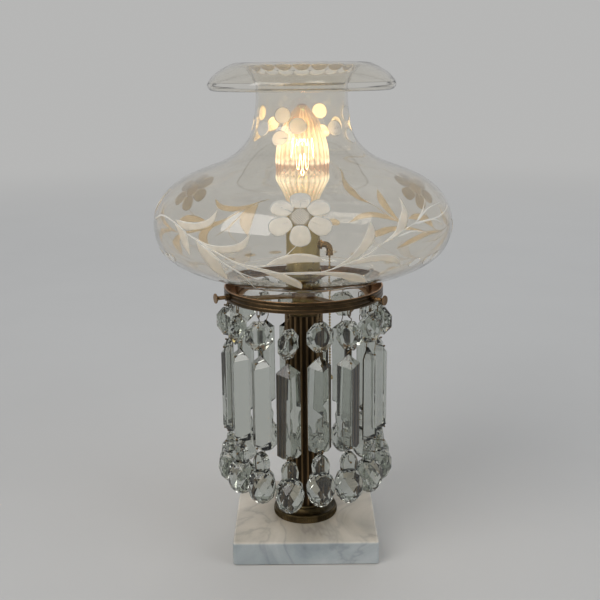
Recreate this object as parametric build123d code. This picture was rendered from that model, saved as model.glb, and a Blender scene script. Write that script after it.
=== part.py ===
from build123d import *
import math
import os

# Table lamp: marble base, fluted column, gallery ring hung with crystal strands, blown glass shade.
# Millimetres, +Z up, origin at the centre of the underside, the front faces -Y.
# Azimuths are counted from the front towards +X.

# Base
FELT_THICK = 1.0
FELT_MARGIN = 5.0
BASE_SIZE = 152.4
BASE_THICK = 24.4
BASE_CORNER_RADIUS = 3.5
BASE_EDGE_RADIUS = 2.5
RECESS_DIA = 42.0
RECESS_DEPTH = 13.0
BUSHING_DIA = 9.0
BUSHING_BORE = 7.0
BUSHING_FLANGE_DIA = 13.0
BUSHING_FLANGE_THICK = 1.5

# Lamp pipe and its fasteners
PIPE_DIA = 9.7
PIPE_BORE = 7.0
PIPE_RECESS_GAP = 2.0
WASHER_DIA = 34.0
WASHER_THICK = 1.6
NUT_FLATS = 14.0
NUT_THICK = 4.0

# Foot and column
FOOT_DIA = 69.6
FOOT_HEIGHT = 14.0
FOOT_FLOOR = 5.0
FOOT_RIM_HEIGHT = 8.2
FOOT_RIM_WIDTH = 3.4
FOOT_COVE_SAG = 2.0
MILLING_FOOT = 1.0
MILLING_HEIGHT = 4.4
MILLING_DEPTH = 0.5
MILLING_TEETH = 96
COLUMN_DIA = 40.6
COLUMN_WALL = 3.2
COLUMN_LENGTH = 213.0
FLUTE_COUNT = 20
FLUTE_RADIUS = 2.55
FLUTE_DEPTH = 1.7
SPIGOT_WALL = 2.5
SPIGOT_LENGTH = 5.0
SEAT_BEAD_RADIUS = 1.9
CAP_HEIGHT = 9.6
NECK_DIA = 25.2
NECK_HEIGHT = 7.6
NECK_GROOVE_RADIUS = 1.2

# Gallery: hub, arms and ring
HUB_HEIGHT = 8.0
HUB_POCKET_DIA = 18.0
ARM_COUNT = 3
ARM_AZIMUTH = 40.0
ARM_WIDTH = 11.0
ARM_THICK = 2.4
ARM_LAP = 5.0
RING_ROOM = 9.6
RING_WALL = 1.6
SHELF_THICK = 1.5
SHELF_WIDTH = 17.6
REED_HEIGHTS = (3.7, 4.4, 3.3)
REED_BULGE = 0.6
SCREW_BOSS_DIA = 7.2
SCREW_BOSS_LENGTH = 4.0
SCREW_HEIGHT = 6.4

# Thumbscrews
SCREW_AZIMUTHS = {"left": -65.0, "right": 55.0, "rear": 175.0}
SCREW_DIA = 4.0
SCREW_REACH = 6.4
SCREW_FLARE_LENGTH = 3.6
SCREW_HEAD_DIA = 9.6
SCREW_HEAD_THICK = 1.5

# Hooks and crystal strands
STRAND_PITCH = 31.5
HOOK_INSET = 1.2
HOOK_WIRE_DIA = 1.0
HOOK_EYE_WIDTH = 4.6
HOOK_EYE_DROP = 6.3
HOOK_BEND = 0.9
HOOK_HOLE_DIA = 1.5
PIN_DIA = 0.9
PIN_BEND = 0.9
PIN_HEAD_DIA = 2.2
PIN_HOLE_DIA = 1.6
TOP_LINK_RADIUS = 1.3
BEAD_DROP = 3.4
BEAD_WIDTH = 27.4
BEAD_HEIGHT = 29.6
BEAD_THICK = 10.4
BEAD_TABLE_WIDTH = 15.2
BEAD_GIRDLE = 2.0
BEAD_HOLE_SPACING = 20.6
BEAD_SIDES = 8
PRISM_GAP = 5.4
PRISM_LENGTH = 102.0
PRISM_WIDTH = 24.4
PRISM_BACK = 3.2
PRISM_RIDGE = 8.3
PRISM_EDGE = 1.4
PRISM_CREST = 1.0
PRISM_ROOF = 10.0
PRISM_ROOF_BEVEL = 14.0
PRISM_TOP_HOLE = 7.5
PRISM_KEEL = 5.0
PRISM_KEEL_BEVEL = 8.0
PRISM_BOTTOM_HOLE = 5.0
PRISM_CORNER_SLOPE = (1.0, 1.6, 1.2)
BALL_GAP = 1.5
BALL_DIA = 30.0
BALL_HEIGHT = 33.5
BALL_CULET_DIA = 14.4
BALL_SHOULDER_DIA = 17.2
BALL_SIDES = 8
BALL_NECK_DIA = 18.8
BALL_NECK_HEIGHT = 20.0
BALL_NECK_THICK = 9.2
BALL_NECK_HOLE = 9.5
BALL_NECK_END_DIA = 7.2
BALL_NECK_BULGE = 1.0

# Each strand in turn, from just right of the front round by +X: how far it hangs below the
# shortest one, and how far its bead and its prism have turned about the vertical.
STRAND_DROPS = (0.0, 1.5, 0.5, 0.0, 1.0, 0.0, 2.0, 0.5, 1.0, 0.0, 1.5, 0.5, 0.0, 0.5, 1.5, 6.8)
BEAD_TWISTS = (8, -62, -28, 70, 15, -40, 25, 80, -12, 35, -65, 10, 50, -70, 30, 58)
PRISM_TWISTS = (8, -14, 10, -6, 16, -12, 6, 12, -16, 9, -8, 14, -10, 18, -5, 20)

# Socket
CAP_BOSS_DIA = 15.0
CAP_BOSS_HEIGHT = 3.5
CAP_BOWL_HEIGHT = 9.5
CAP_RIM_HEIGHT = 7.0
CAP_BOWL_BULGE = 2.0
CAP_WALL = 1.0
SOCKET_DIA = 35.2
SOCKET_WALL = 0.8
SOCKET_LENGTH = 71.0
SOCKET_BEAD_HEIGHT = 3.0
SOCKET_BEAD_BULGE = 0.7
LINER_WALL = 0.8
SWITCH_DIA = 30.0
SWITCH_HEIGHT = 38.0
SWITCH_CHAMFER = 2.0
CONTACT_BORE = 26.9
CONTACT_WALL = 0.5
TONGUE_DIA = 8.0
TONGUE_THICK = 0.8
GUIDE_HEIGHT = 34.0
GUIDE_ROOT_DIA = 8.4
GUIDE_COLLAR_DIA = 10.4
GUIDE_COLLAR_THICK = 1.8
GUIDE_HORN_DIA = 6.8
GUIDE_HORN_BEND = 6.0
GUIDE_HORN_DROP = 12.0
GUIDE_MOUTH_DIA = 8.0
GUIDE_MOUTH_HEIGHT = 2.4
GUIDE_BORE = 3.4

# Pull chain
CHAIN_OFFSET = 27.5
CHAIN_BALL_DIA = 2.4
CHAIN_PITCH = 3.2
CHAIN_WIRE_DIA = 0.9
CHAIN_BALLS = 40
BELL_LENGTH = 12.5
BELL_DIA = 6.6
BELL_TOP_DIA = 3.2
BELL_SOCKET_LENGTH = 3.8
BELL_LIP_HEIGHT = 2.0

# Bulb
BULB_TIP_DIA = 9.4
BULB_TIP_HEIGHT = 1.3
BULB_INSULATOR_HEIGHT = 3.2
BULB_BASE_DIA = 26.2
BULB_BASE_HEIGHT = 24.5
BULB_THREADS = 5
BULB_THREAD_DEPTH = 0.6
BULB_NECK_DIA = 25.6
BULB_DIA = 55.2
BULB_WALL = 0.9
BULB_BOWL_HEIGHT = 35.9
BULB_BAND_HEIGHT = 12.5
BULB_DOME_HEIGHT = 61.0
STEM_DIA = 7.0
STEM_TIP_DIA = 4.2
STEM_HEIGHT = 36.0
FILAMENT_WIRE_DIA = 0.8
FILAMENT_SPAN = 18.0
FILAMENT_RISE = 30.0
FILAMENT_PEAK = 8.0
BULB_STATIONS = 12

# Shade
SHADE_DIA = 305.6
SHADE_WALL = 3.2
SHADE_FITTER_DIA = 144.0
SHADE_FITTER_HEIGHT = 17.0
SHADE_FITTER_BEND = 5.0
SHADE_FITTER_TURN = 83.0
SHADE_BELLY_LEVEL = 77.7
SHADE_NECK_LEVEL = 145.0
SHADE_THROAT_DIA = 94.4
SHADE_THROAT_LEVEL = 191.7
SHADE_HEIGHT = 235.4
SHADE_LIP_DIA = 189.2
SHADE_STATIONS = 60

# Rings of corners on the ball between its culet and its shoulder: share of the ball's radius,
# share of its height
BALL_RINGS = ((0.83, 0.17), (1.0, 0.42), (0.98, 0.67), (0.83, 0.88))

# Shape of the bulb between its neck and its waist, and between its waist and its tip: share of
# the way across, share of the way up
BOWL_CURVE = ((0.08, 0.15), (0.38, 0.5), (0.88, 0.86))
DOME_CURVE = ((0.05, 0.27), (0.19, 0.52), (0.44, 0.76), (0.74, 0.93))

# Shape of the shade wall between its named circles: share of the way across, share of the way up
BELLY_CURVE = ((0.385, 0.11), (0.686, 0.284), (0.881, 0.49))
SHOULDER_CURVE = ((0.128, 0.269), (0.389, 0.425), (0.758, 0.568), (0.944, 0.75))
LIP_CURVE = ((0.055, 0.708), (0.346, 1.0), (0.584, 0.931), (0.768, 0.815), (0.926, 0.66), (1.0, 0.52))
LIP_END = (0.94, 0.418)

# Where the middle of a hollow turned curve stands between its ends
HOLLOW = 0.3

# Clearances
PIPE_FIT = 0.15
SEAT_FIT = 0.2
WIRE_FIT = 0.3
HEAD_FIT = 0.05
SHADE_SEAT_GAP = 0.3
SCREW_TIP_GAP = 0.3
CONTACT_GAP = 0.3

# Levels and radii worked out from the dimensions above
BASE_TOP = FELT_THICK + BASE_THICK
RECESS_TOP = FELT_THICK + RECESS_DEPTH
PIPE_HOLE = PIPE_DIA / 2 + PIPE_FIT
FOOT_TOP = BASE_TOP + FOOT_HEIGHT
COLUMN_TOP = FOOT_TOP + COLUMN_LENGTH
SPIGOT_RADIUS = COLUMN_DIA / 2 - COLUMN_WALL - SEAT_FIT
CAP_TOP = COLUMN_TOP + CAP_HEIGHT
HUB_FOOT = CAP_TOP + NECK_HEIGHT
HUB_TOP = HUB_FOOT + HUB_HEIGHT
RING_FOOT = HUB_FOOT + ARM_THICK
RING_TOP = RING_FOOT + sum(REED_HEIGHTS)
RING_BORE = SHADE_FITTER_DIA / 2 + RING_ROOM
RING_RADIUS = RING_BORE + RING_WALL
SHELF_BORE = RING_BORE - SHELF_WIDTH
SHELF_TOP = RING_FOOT + SHELF_THICK
SCREW_LEVEL = RING_FOOT + SCREW_HEIGHT
HOOK_RADIUS = RING_BORE - HOOK_INSET
STRAND_COUNT = int(2 * math.pi * HOOK_RADIUS / STRAND_PITCH)
HOOK_LEG = (HOOK_EYE_WIDTH - HOOK_WIRE_DIA) / 2
HINGE_LEVEL = RING_FOOT - HOOK_EYE_DROP
BEAD_TOP = HINGE_LEVEL - BEAD_DROP
BEAD_CENTRE = BEAD_TOP - BEAD_HEIGHT / 2
BEAD_FOOT = BEAD_TOP - BEAD_HEIGHT
PRISM_TOP = BEAD_FOOT - PRISM_GAP
PRISM_FOOT = PRISM_TOP - PRISM_LENGTH
BALL_TOP = PRISM_FOOT - BALL_GAP
BALL_FOOT = BALL_TOP - BALL_NECK_HEIGHT - BALL_HEIGHT
CAP_FOOT = HUB_TOP + SEAT_FIT
BOWL_TOP = CAP_FOOT + CAP_BOSS_HEIGHT + CAP_BOWL_HEIGHT
SHELL_FOOT = BOWL_TOP + SEAT_FIT
SHELL_TOP = SHELL_FOOT + SOCKET_LENGTH
SHELL_BORE = SOCKET_DIA / 2 - SOCKET_WALL
SWITCH_TOP = SHELL_FOOT + SWITCH_HEIGHT
GUIDE_LEVEL = SHELL_FOOT + GUIDE_HEIGHT
CHAIN_TOP = GUIDE_LEVEL - GUIDE_HORN_BEND
BULB_FOOT = SWITCH_TOP + TONGUE_THICK + CONTACT_GAP
BULB_BASE_FOOT = BULB_FOOT + BULB_TIP_HEIGHT
THREAD_FOOT = BULB_BASE_FOOT + BULB_INSULATOR_HEIGHT
GLASS_FOOT = THREAD_FOOT + BULB_BASE_HEIGHT
SHADE_FOOT = SHELF_TOP + SHADE_SEAT_GAP


# Shared construction


def revolved(edges):
    """Turns a closed outline drawn as (radius, height) about Z."""
    return revolve(Plane.XZ * make_face(Wire(edges)), axis=Axis.Z)


def turned(*corners):
    """Turned piece with straight-sided (radius, height) corners."""
    return revolve(Plane.XZ * make_face(Polyline(*corners, close=True)), axis=Axis.Z)


def tube(outer, inner, bottom, top):
    """Round tube about Z between two levels."""
    return Pos(0, 0, bottom) * extrude(Circle(outer) - Circle(inner), top - bottom)


def disc(radius, bottom, top):
    """Round bar about Z between two levels."""
    return Pos(0, 0, bottom) * extrude(Circle(radius), top - bottom)


def rod(radius, start, end):
    """Straight round bar between two points."""
    way = Vector(*end) - Vector(*start)
    return extrude(Plane(Vector(*start), z_dir=way) * Circle(radius), way.length)


def bent_wire(diameter, points, bend):
    """Round wire along straight runs joined by arcs."""
    places = [Vector(*point) for point in points]
    start = places[0]
    pieces = []
    for corner, after in zip(places[1:], places[2:]):
        way = (corner - start).normalized()
        turn = (after - corner).normalized()
        angle = way.get_angle(turn)
        half = math.radians(angle / 2)
        begin = corner - way * (bend * math.tan(half))
        centre = corner + (turn - way).normalized() * (bend / math.cos(half))
        section = Plane(begin, z_dir=way) * Circle(diameter / 2)
        pieces.append(rod(diameter / 2, start, begin))
        pieces.append(revolve(section, axis=Axis(centre, way.cross(turn)), revolution_arc=angle))
        start = corner + turn * (bend * math.tan(half))
    return rod(diameter / 2, start, places[-1]) + pieces[::-1]


def beside(curve, distance, stations):
    """Curve that runs at a distance on the right of another one, through a number of stations."""
    points = []
    for station in range(stations + 1):
        place = curve @ (station / stations)
        way = curve % (station / stations)
        points.append((place.X + way.Y * distance, place.Y - way.X * distance))
    return Spline(*points, tangents=[flat(curve % 0), flat(curve % 1)])


def flat(vector):
    """The (radius, height) pair of a vector in an outline."""
    return (vector.X, vector.Y)


def between(start, end, shares):
    """Points at the given shares of the way from one (radius, height) point to another."""
    width = end[0] - start[0]
    height = end[1] - start[1]
    return [(start[0] + across * width, start[1] + up * height) for across, up in shares]


def around(azimuth, shape):
    """Turns a shape built at the front to its azimuth."""
    return Rot(0, 0, azimuth) * shape


def strand_azimuth(index):
    """Azimuth of a strand; the strands stand either side of the front."""
    return (index + 0.5) * 360 / STRAND_COUNT


def faceted(rings, sides, stretch=1.0):
    """Closed cut stone whose corners lie on rings of (corner radius, height, turn in half sides)."""
    corners = []
    for radius, height, turn in rings:
        angles = [2 * math.pi * (side + turn / 2) / sides for side in range(sides)]
        long = radius * stretch
        corners.append([Vector(radius * math.cos(a), long * math.sin(a), height) for a in angles])
    faces = [polygon(corners[0]), polygon(corners[-1])]
    for lower, upper, low_ring, high_ring in zip(corners, corners[1:], rings, rings[1:]):
        for side in range(sides):
            after = (side + 1) % sides
            if low_ring[2] == high_ring[2]:
                faces.append(polygon([lower[side], lower[after], upper[after], upper[side]]))
            elif high_ring[2] > low_ring[2]:
                faces.append(polygon([lower[side], lower[after], upper[side]]))
                faces.append(polygon([lower[after], upper[after], upper[side]]))
            else:
                faces.append(polygon([upper[side], upper[after], lower[side]]))
                faces.append(polygon([upper[after], lower[after], lower[side]]))
    return Solid(Shell(faces))


def polygon(points):
    return Face(Wire.make_polygon(points, close=True))


# Base


def felt_pad():
    side = BASE_SIZE - 2 * FELT_MARGIN
    return extrude(RectangleRounded(side, side, BASE_CORNER_RADIUS) - Circle(RECESS_DIA / 2), FELT_THICK)


def marble_base():
    outline = RectangleRounded(BASE_SIZE, BASE_SIZE, BASE_CORNER_RADIUS)
    slab = Pos(0, 0, FELT_THICK) * extrude(outline, BASE_THICK)
    slab = fillet(slab.faces().sort_by(Axis.Z)[-1].edges(), BASE_EDGE_RADIUS)
    slab -= disc(RECESS_DIA / 2, FELT_THICK, RECESS_TOP)
    slab -= disc(PIPE_HOLE, RECESS_TOP, BASE_TOP)
    return slab - bushing_way(BUSHING_DIA / 2 + SEAT_FIT)


def bushing_way(radius):
    """Bar along the cord's way out, from the recess to the rear face."""
    level = FELT_THICK + RECESS_DEPTH / 2
    return rod(radius, (0, 0, level), (0, BASE_SIZE / 2, level))


def cord_bushing():
    level = FELT_THICK + RECESS_DEPTH / 2
    rear = BASE_SIZE / 2
    sleeve = rod(BUSHING_DIA / 2, (0, RECESS_DIA / 2 + SEAT_FIT, level), (0, rear, level))
    flange = rod(BUSHING_FLANGE_DIA / 2, (0, rear, level), (0, rear + BUSHING_FLANGE_THICK, level))
    bore = rod(BUSHING_BORE / 2, (0, 0, level), (0, rear + BUSHING_FLANGE_THICK, level))
    return sleeve + flange - bore


def lamp_pipe():
    """The pipe, the washer and nut that hold it in the base, and the nut that clamps the hub."""
    pipe = tube(PIPE_DIA / 2, PIPE_BORE / 2, FELT_THICK + PIPE_RECESS_GAP, BOWL_TOP)
    washer = tube(WASHER_DIA / 2, PIPE_HOLE, RECESS_TOP - WASHER_THICK, RECESS_TOP)
    nut = extrude(RegularPolygon(NUT_FLATS / 2, 6, major_radius=False) - Circle(PIPE_HOLE), NUT_THICK)
    lower = Pos(0, 0, RECESS_TOP - WASHER_THICK - NUT_THICK) * nut
    upper = Pos(0, 0, HUB_TOP - NUT_THICK) * nut
    return Compound([pipe, washer, lower, upper])


# Foot and column


def foot_flange():
    """Dished foot: milled rim, bead, cove up to the column's seat, and a spigot inside the column."""
    rim = FOOT_DIA / 2
    core = rim - MILLING_DEPTH
    seat = COLUMN_DIA / 2 + SEAT_BEAD_RADIUS
    spigot_bore = SPIGOT_RADIUS - SPIGOT_WALL
    rim_inner = rim - FOOT_RIM_WIDTH
    dish = FOOT_RIM_HEIGHT - FOOT_RIM_WIDTH / 2
    bead_foot = FOOT_HEIGHT - 2 * SEAT_BEAD_RADIUS
    cove = ((rim_inner + COLUMN_DIA / 2) / 2, (dish + bead_foot) / 2 - FOOT_COVE_SAG)
    outline = [
        Line((PIPE_HOLE, 0), (core, 0)),
        Line((core, 0), (core, dish)),
        ThreePointArc((core, dish), ((core + rim_inner) / 2, FOOT_RIM_HEIGHT), (rim_inner, dish)),
        ThreePointArc((rim_inner, dish), cove, (COLUMN_DIA / 2, bead_foot)),
        ThreePointArc(
            (COLUMN_DIA / 2, bead_foot),
            (seat, FOOT_HEIGHT - SEAT_BEAD_RADIUS),
            (COLUMN_DIA / 2, FOOT_HEIGHT),
        ),
        Line((COLUMN_DIA / 2, FOOT_HEIGHT), (SPIGOT_RADIUS, FOOT_HEIGHT)),
        Line((SPIGOT_RADIUS, FOOT_HEIGHT), (SPIGOT_RADIUS, FOOT_HEIGHT + SPIGOT_LENGTH)),
        Line((SPIGOT_RADIUS, FOOT_HEIGHT + SPIGOT_LENGTH), (spigot_bore, FOOT_HEIGHT + SPIGOT_LENGTH)),
        Line((spigot_bore, FOOT_HEIGHT + SPIGOT_LENGTH), (spigot_bore, FOOT_FLOOR)),
        Line((spigot_bore, FOOT_FLOOR), (PIPE_HOLE, FOOT_FLOOR)),
        Line((PIPE_HOLE, FOOT_FLOOR), (PIPE_HOLE, 0)),
    ]
    return Pos(0, 0, BASE_TOP) * (revolved(outline) + milled_band(core, rim))


def milled_band(root, tip):
    """Upright milling round the rim of the foot."""
    points = []
    for tooth in range(2 * MILLING_TEETH):
        angle = math.pi * tooth / MILLING_TEETH
        radius = tip if tooth % 2 else root
        points.append((radius * math.cos(angle), radius * math.sin(angle)))
    outline = make_face(Polyline(*points, close=True))
    return Pos(0, 0, MILLING_FOOT) * extrude(outline - Circle(root - FOOT_RIM_WIDTH / 2), MILLING_HEIGHT)


def column_shaft():
    """Fluted tube."""
    section = Circle(COLUMN_DIA / 2) - Circle(COLUMN_DIA / 2 - COLUMN_WALL)
    flute = Circle(FLUTE_RADIUS)
    for place in PolarLocations(COLUMN_DIA / 2 + FLUTE_RADIUS - FLUTE_DEPTH, FLUTE_COUNT):
        section -= place * flute
    return Pos(0, 0, FOOT_TOP) * extrude(section, COLUMN_LENGTH)


def column_cap():
    """Collar on the column: plug, bead and cavetto in to the neck."""
    side = COLUMN_DIA / 2
    neck = NECK_DIA / 2
    bead_top = 2 * SEAT_BEAD_RADIUS
    outline = [
        Line((PIPE_HOLE, -SPIGOT_LENGTH), (SPIGOT_RADIUS, -SPIGOT_LENGTH)),
        Line((SPIGOT_RADIUS, -SPIGOT_LENGTH), (SPIGOT_RADIUS, 0)),
        Line((SPIGOT_RADIUS, 0), (side, 0)),
        ThreePointArc((side, 0), (side + SEAT_BEAD_RADIUS, SEAT_BEAD_RADIUS), (side, bead_top)),
        ThreePointArc(
            (side, bead_top),
            (neck + HOLLOW * (side - neck), bead_top + HOLLOW * (CAP_HEIGHT - bead_top)),
            (neck, CAP_HEIGHT),
        ),
        Line((neck, CAP_HEIGHT), (PIPE_HOLE, CAP_HEIGHT)),
        Line((PIPE_HOLE, CAP_HEIGHT), (PIPE_HOLE, -SPIGOT_LENGTH)),
    ]
    return Pos(0, 0, COLUMN_TOP) * revolved(outline)


def column_neck():
    """Short grooved spacer between the column's cap and the hub."""
    side = NECK_DIA / 2
    low = NECK_HEIGHT / 2 - NECK_GROOVE_RADIUS
    high = NECK_HEIGHT / 2 + NECK_GROOVE_RADIUS
    outline = [
        Line((PIPE_HOLE, 0), (side, 0)),
        Line((side, 0), (side, low)),
        ThreePointArc((side, low), (side - NECK_GROOVE_RADIUS, NECK_HEIGHT / 2), (side, high)),
        Line((side, high), (side, NECK_HEIGHT)),
        Line((side, NECK_HEIGHT), (PIPE_HOLE, NECK_HEIGHT)),
        Line((PIPE_HOLE, NECK_HEIGHT), (PIPE_HOLE, 0)),
    ]
    return Pos(0, 0, CAP_TOP) * revolved(outline)


# Gallery


def gallery_spider():
    """Hub with a pocket for its nut, and arms that reach under the ring's shelf."""
    hub = tube(NECK_DIA / 2, PIPE_HOLE, HUB_FOOT, HUB_TOP)
    hub -= disc(HUB_POCKET_DIA / 2, HUB_TOP - NUT_THICK, HUB_TOP)
    reach = SHELF_BORE + ARM_LAP
    inset = (HUB_POCKET_DIA / 2 + NECK_DIA / 2) / 2
    length = reach - inset
    arm = extrude(RectangleRounded(length, ARM_WIDTH, ARM_THICK), ARM_THICK)
    for index in range(ARM_COUNT):
        azimuth = ARM_AZIMUTH + index * 360 / ARM_COUNT
        hub += around(azimuth - 90, Pos(inset + length / 2, 0, HUB_FOOT) * arm)
    return hub


def gallery_ring():
    """Reeded band with a shelf for the shade, thumbscrew bosses and holes for the hooks."""
    band = RING_RADIUS - REED_BULGE
    outline = [Line((SHELF_BORE, RING_FOOT), (band, RING_FOOT))]
    level = RING_FOOT
    for height in REED_HEIGHTS:
        crest = (band + REED_BULGE, level + height / 2)
        outline.append(ThreePointArc((band, level), crest, (band, level + height)))
        level += height
    outline += [
        Line((band, RING_TOP), (RING_BORE, RING_TOP)),
        Line((RING_BORE, RING_TOP), (RING_BORE, SHELF_TOP)),
        Line((RING_BORE, SHELF_TOP), (SHELF_BORE, SHELF_TOP)),
        Line((SHELF_BORE, SHELF_TOP), (SHELF_BORE, RING_FOOT)),
    ]
    ring = revolved(outline)
    root = RING_BORE + (RING_WALL - REED_BULGE) / 2
    face = RING_RADIUS + SCREW_BOSS_LENGTH
    boss = rod(SCREW_BOSS_DIA / 2, (0, -root, SCREW_LEVEL), (0, -face, SCREW_LEVEL))
    bore = rod(SCREW_DIA / 2 + SEAT_FIT, (0, RING_WALL - RING_BORE, SCREW_LEVEL), (0, -face, SCREW_LEVEL))
    for azimuth in SCREW_AZIMUTHS.values():
        ring += around(azimuth, boss)
    for azimuth in SCREW_AZIMUTHS.values():
        ring -= around(azimuth, bore)
    return ring - [hook_holes(index) for index in range(STRAND_COUNT)]


def hook_holes(index):
    """The pair of holes in the shelf that a hook's legs pass through."""
    hole = disc(HOOK_HOLE_DIA / 2, RING_FOOT, SHELF_TOP)
    pair = Pos(HOOK_LEG, -HOOK_RADIUS, 0) * hole + Pos(-HOOK_LEG, -HOOK_RADIUS, 0) * hole
    return around(strand_azimuth(index), pair)


def hook_eyes():
    """Closed wire loops over the shelf, one for each strand, with their eyes below the ring."""
    top = SHELF_TOP + HEAD_FIT + HOOK_WIRE_DIA / 2
    eye = HINGE_LEVEL + HOOK_LEG
    path = Wire(
        [
            Line((0, top), (HOOK_LEG - HOOK_BEND, top)),
            JernArc((HOOK_LEG - HOOK_BEND, top), (1, 0), HOOK_BEND, -90),
            Line((HOOK_LEG, top - HOOK_BEND), (HOOK_LEG, eye)),
            JernArc((HOOK_LEG, eye), (0, -1), HOOK_LEG, -180),
            Line((-HOOK_LEG, eye), (-HOOK_LEG, top - HOOK_BEND)),
            JernArc((-HOOK_LEG, top - HOOK_BEND), (0, 1), HOOK_BEND, -90),
            Line((HOOK_BEND - HOOK_LEG, top), (0, top)),
        ]
    )
    path = Plane.XZ * path
    hook = sweep(Plane(path @ 0, z_dir=path % 0) * Circle(HOOK_WIRE_DIA / 2), path=path)
    hook = Pos(0, -HOOK_RADIUS, 0) * hook
    return Compound([around(strand_azimuth(index), hook) for index in range(STRAND_COUNT)])


def thumb_screw(azimuth):
    """Round-headed set screw that points at the shade's fitter."""
    tip = SHADE_FITTER_DIA / 2 + SCREW_TIP_GAP
    shank = RING_RADIUS + SCREW_BOSS_LENGTH + SCREW_REACH - tip
    radius = SCREW_DIA / 2
    head = shank + SCREW_FLARE_LENGTH
    end = head + SCREW_HEAD_THICK
    rim = SCREW_HEAD_DIA / 2
    hollow = (radius + HOLLOW * (rim - radius), head - HOLLOW * SCREW_FLARE_LENGTH)
    crown = (rim + SCREW_HEAD_THICK / 4, (head + end) / 2)
    outline = [
        Line((0, 0), (radius / 2, 0)),
        Line((radius / 2, 0), (radius, radius / 2)),
        Line((radius, radius / 2), (radius, shank)),
        ThreePointArc((radius, shank), hollow, (rim, head)),
        ThreePointArc((rim, head), crown, (rim, end)),
        Line((rim, end), (0, end)),
        Line((0, end), (0, 0)),
    ]
    screw = Pos(0, -tip, SCREW_LEVEL) * Rot(90, 0, 0) * revolved(outline)
    return around(azimuth, screw)


# Crystal strands: each piece is built on the strand's own vertical line, with its front towards -Y


def pin_hole(level):
    return rod(PIN_HOLE_DIA / 2, (0, -BALL_DIA, level), (0, BALL_DIA, level))


def octagon_bead():
    """Flat octagon cut on both sides, with a hole near its top and bottom."""
    to_corner = 1 / math.cos(math.pi / BEAD_SIDES)
    table = BEAD_TABLE_WIDTH / 2 * to_corner
    girdle = BEAD_WIDTH / 2 * to_corner
    rings = (
        (table, -BEAD_THICK / 2, 0),
        (girdle, -BEAD_GIRDLE / 2, 1),
        (girdle, BEAD_GIRDLE / 2, 1),
        (table, BEAD_THICK / 2, 0),
    )
    bead = Rot(90, 0, 0) * faceted(rings, BEAD_SIDES, BEAD_HEIGHT / BEAD_WIDTH)
    return bead - pin_hole(BEAD_HOLE_SPACING / 2) - pin_hole(-BEAD_HOLE_SPACING / 2)


def bead_half_thickness():
    """Half of the bead's thickness where its holes are."""
    table = BEAD_TABLE_WIDTH / 2 / math.cos(math.pi / BEAD_SIDES)
    out = BEAD_HOLE_SPACING / 2 * BEAD_WIDTH / BEAD_HEIGHT
    share = (out - table) / (BEAD_WIDTH / 2 - table)
    return BEAD_THICK / 2 - max(share, 0) * (BEAD_THICK - BEAD_GIRDLE) / 2


def bead_head_standoff():
    """How far a pin's head stands off the bead's sloping facet."""
    run = BEAD_WIDTH / 2 - BEAD_TABLE_WIDTH / 2 / math.cos(math.pi / BEAD_SIDES)
    return standoff((BEAD_THICK - BEAD_GIRDLE) / 2, run)


def standoff(rise, run):
    """Distance from a sloping face to the centre of a round head that rests on it."""
    return PIN_HEAD_DIA / 2 * math.hypot(rise, run) / run + HEAD_FIT


def prism_bar():
    """Three-sided drop with its ridge to the front, a gabled top and a shallower gabled foot."""
    half = PRISM_WIDTH / 2
    section = Polyline(
        (-half, PRISM_BACK),
        (half, PRISM_BACK),
        (half, PRISM_BACK - PRISM_EDGE),
        (0, -PRISM_RIDGE),
        (-half, PRISM_BACK - PRISM_EDGE),
        close=True,
    )
    bar = extrude(make_face(section), PRISM_LENGTH)
    depth = PRISM_RIDGE + PRISM_CREST
    crest = (0, PRISM_CREST, PRISM_LENGTH)
    keel = (0, PRISM_CREST, 0)
    outward, forward, upward = PRISM_CORNER_SLOPE
    for side in (-1, 1):
        corner = (side * half, PRISM_BACK - PRISM_EDGE, PRISM_LENGTH - PRISM_ROOF)
        bar = cut_away(bar, crest, (side * PRISM_ROOF, 0, half))
        bar = cut_away(bar, keel, (side * PRISM_KEEL, 0, -half))
        bar = cut_away(bar, corner, (side * outward, -forward, upward))
    bar = cut_away(bar, crest, (0, -PRISM_ROOF_BEVEL, depth))
    bar = cut_away(bar, keel, (0, -PRISM_KEEL_BEVEL, -depth))
    return bar - pin_hole(PRISM_LENGTH - PRISM_TOP_HOLE) - pin_hole(PRISM_BOTTOM_HOLE)


def cut_away(shape, point, outward):
    """Removes what lies beyond a plane, on the side that its outward normal points to."""
    return split(shape, bisect_by=Plane(Vector(*point), z_dir=Vector(*outward)), keep=Keep.BOTTOM)


def prism_head_reach(hole, bevel):
    """How far in front of the strand's line a pin's head stands on a bevelled end of the prism."""
    depth = PRISM_RIDGE + PRISM_CREST
    return depth * hole / bevel - PRISM_CREST + standoff(depth, bevel)


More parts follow.
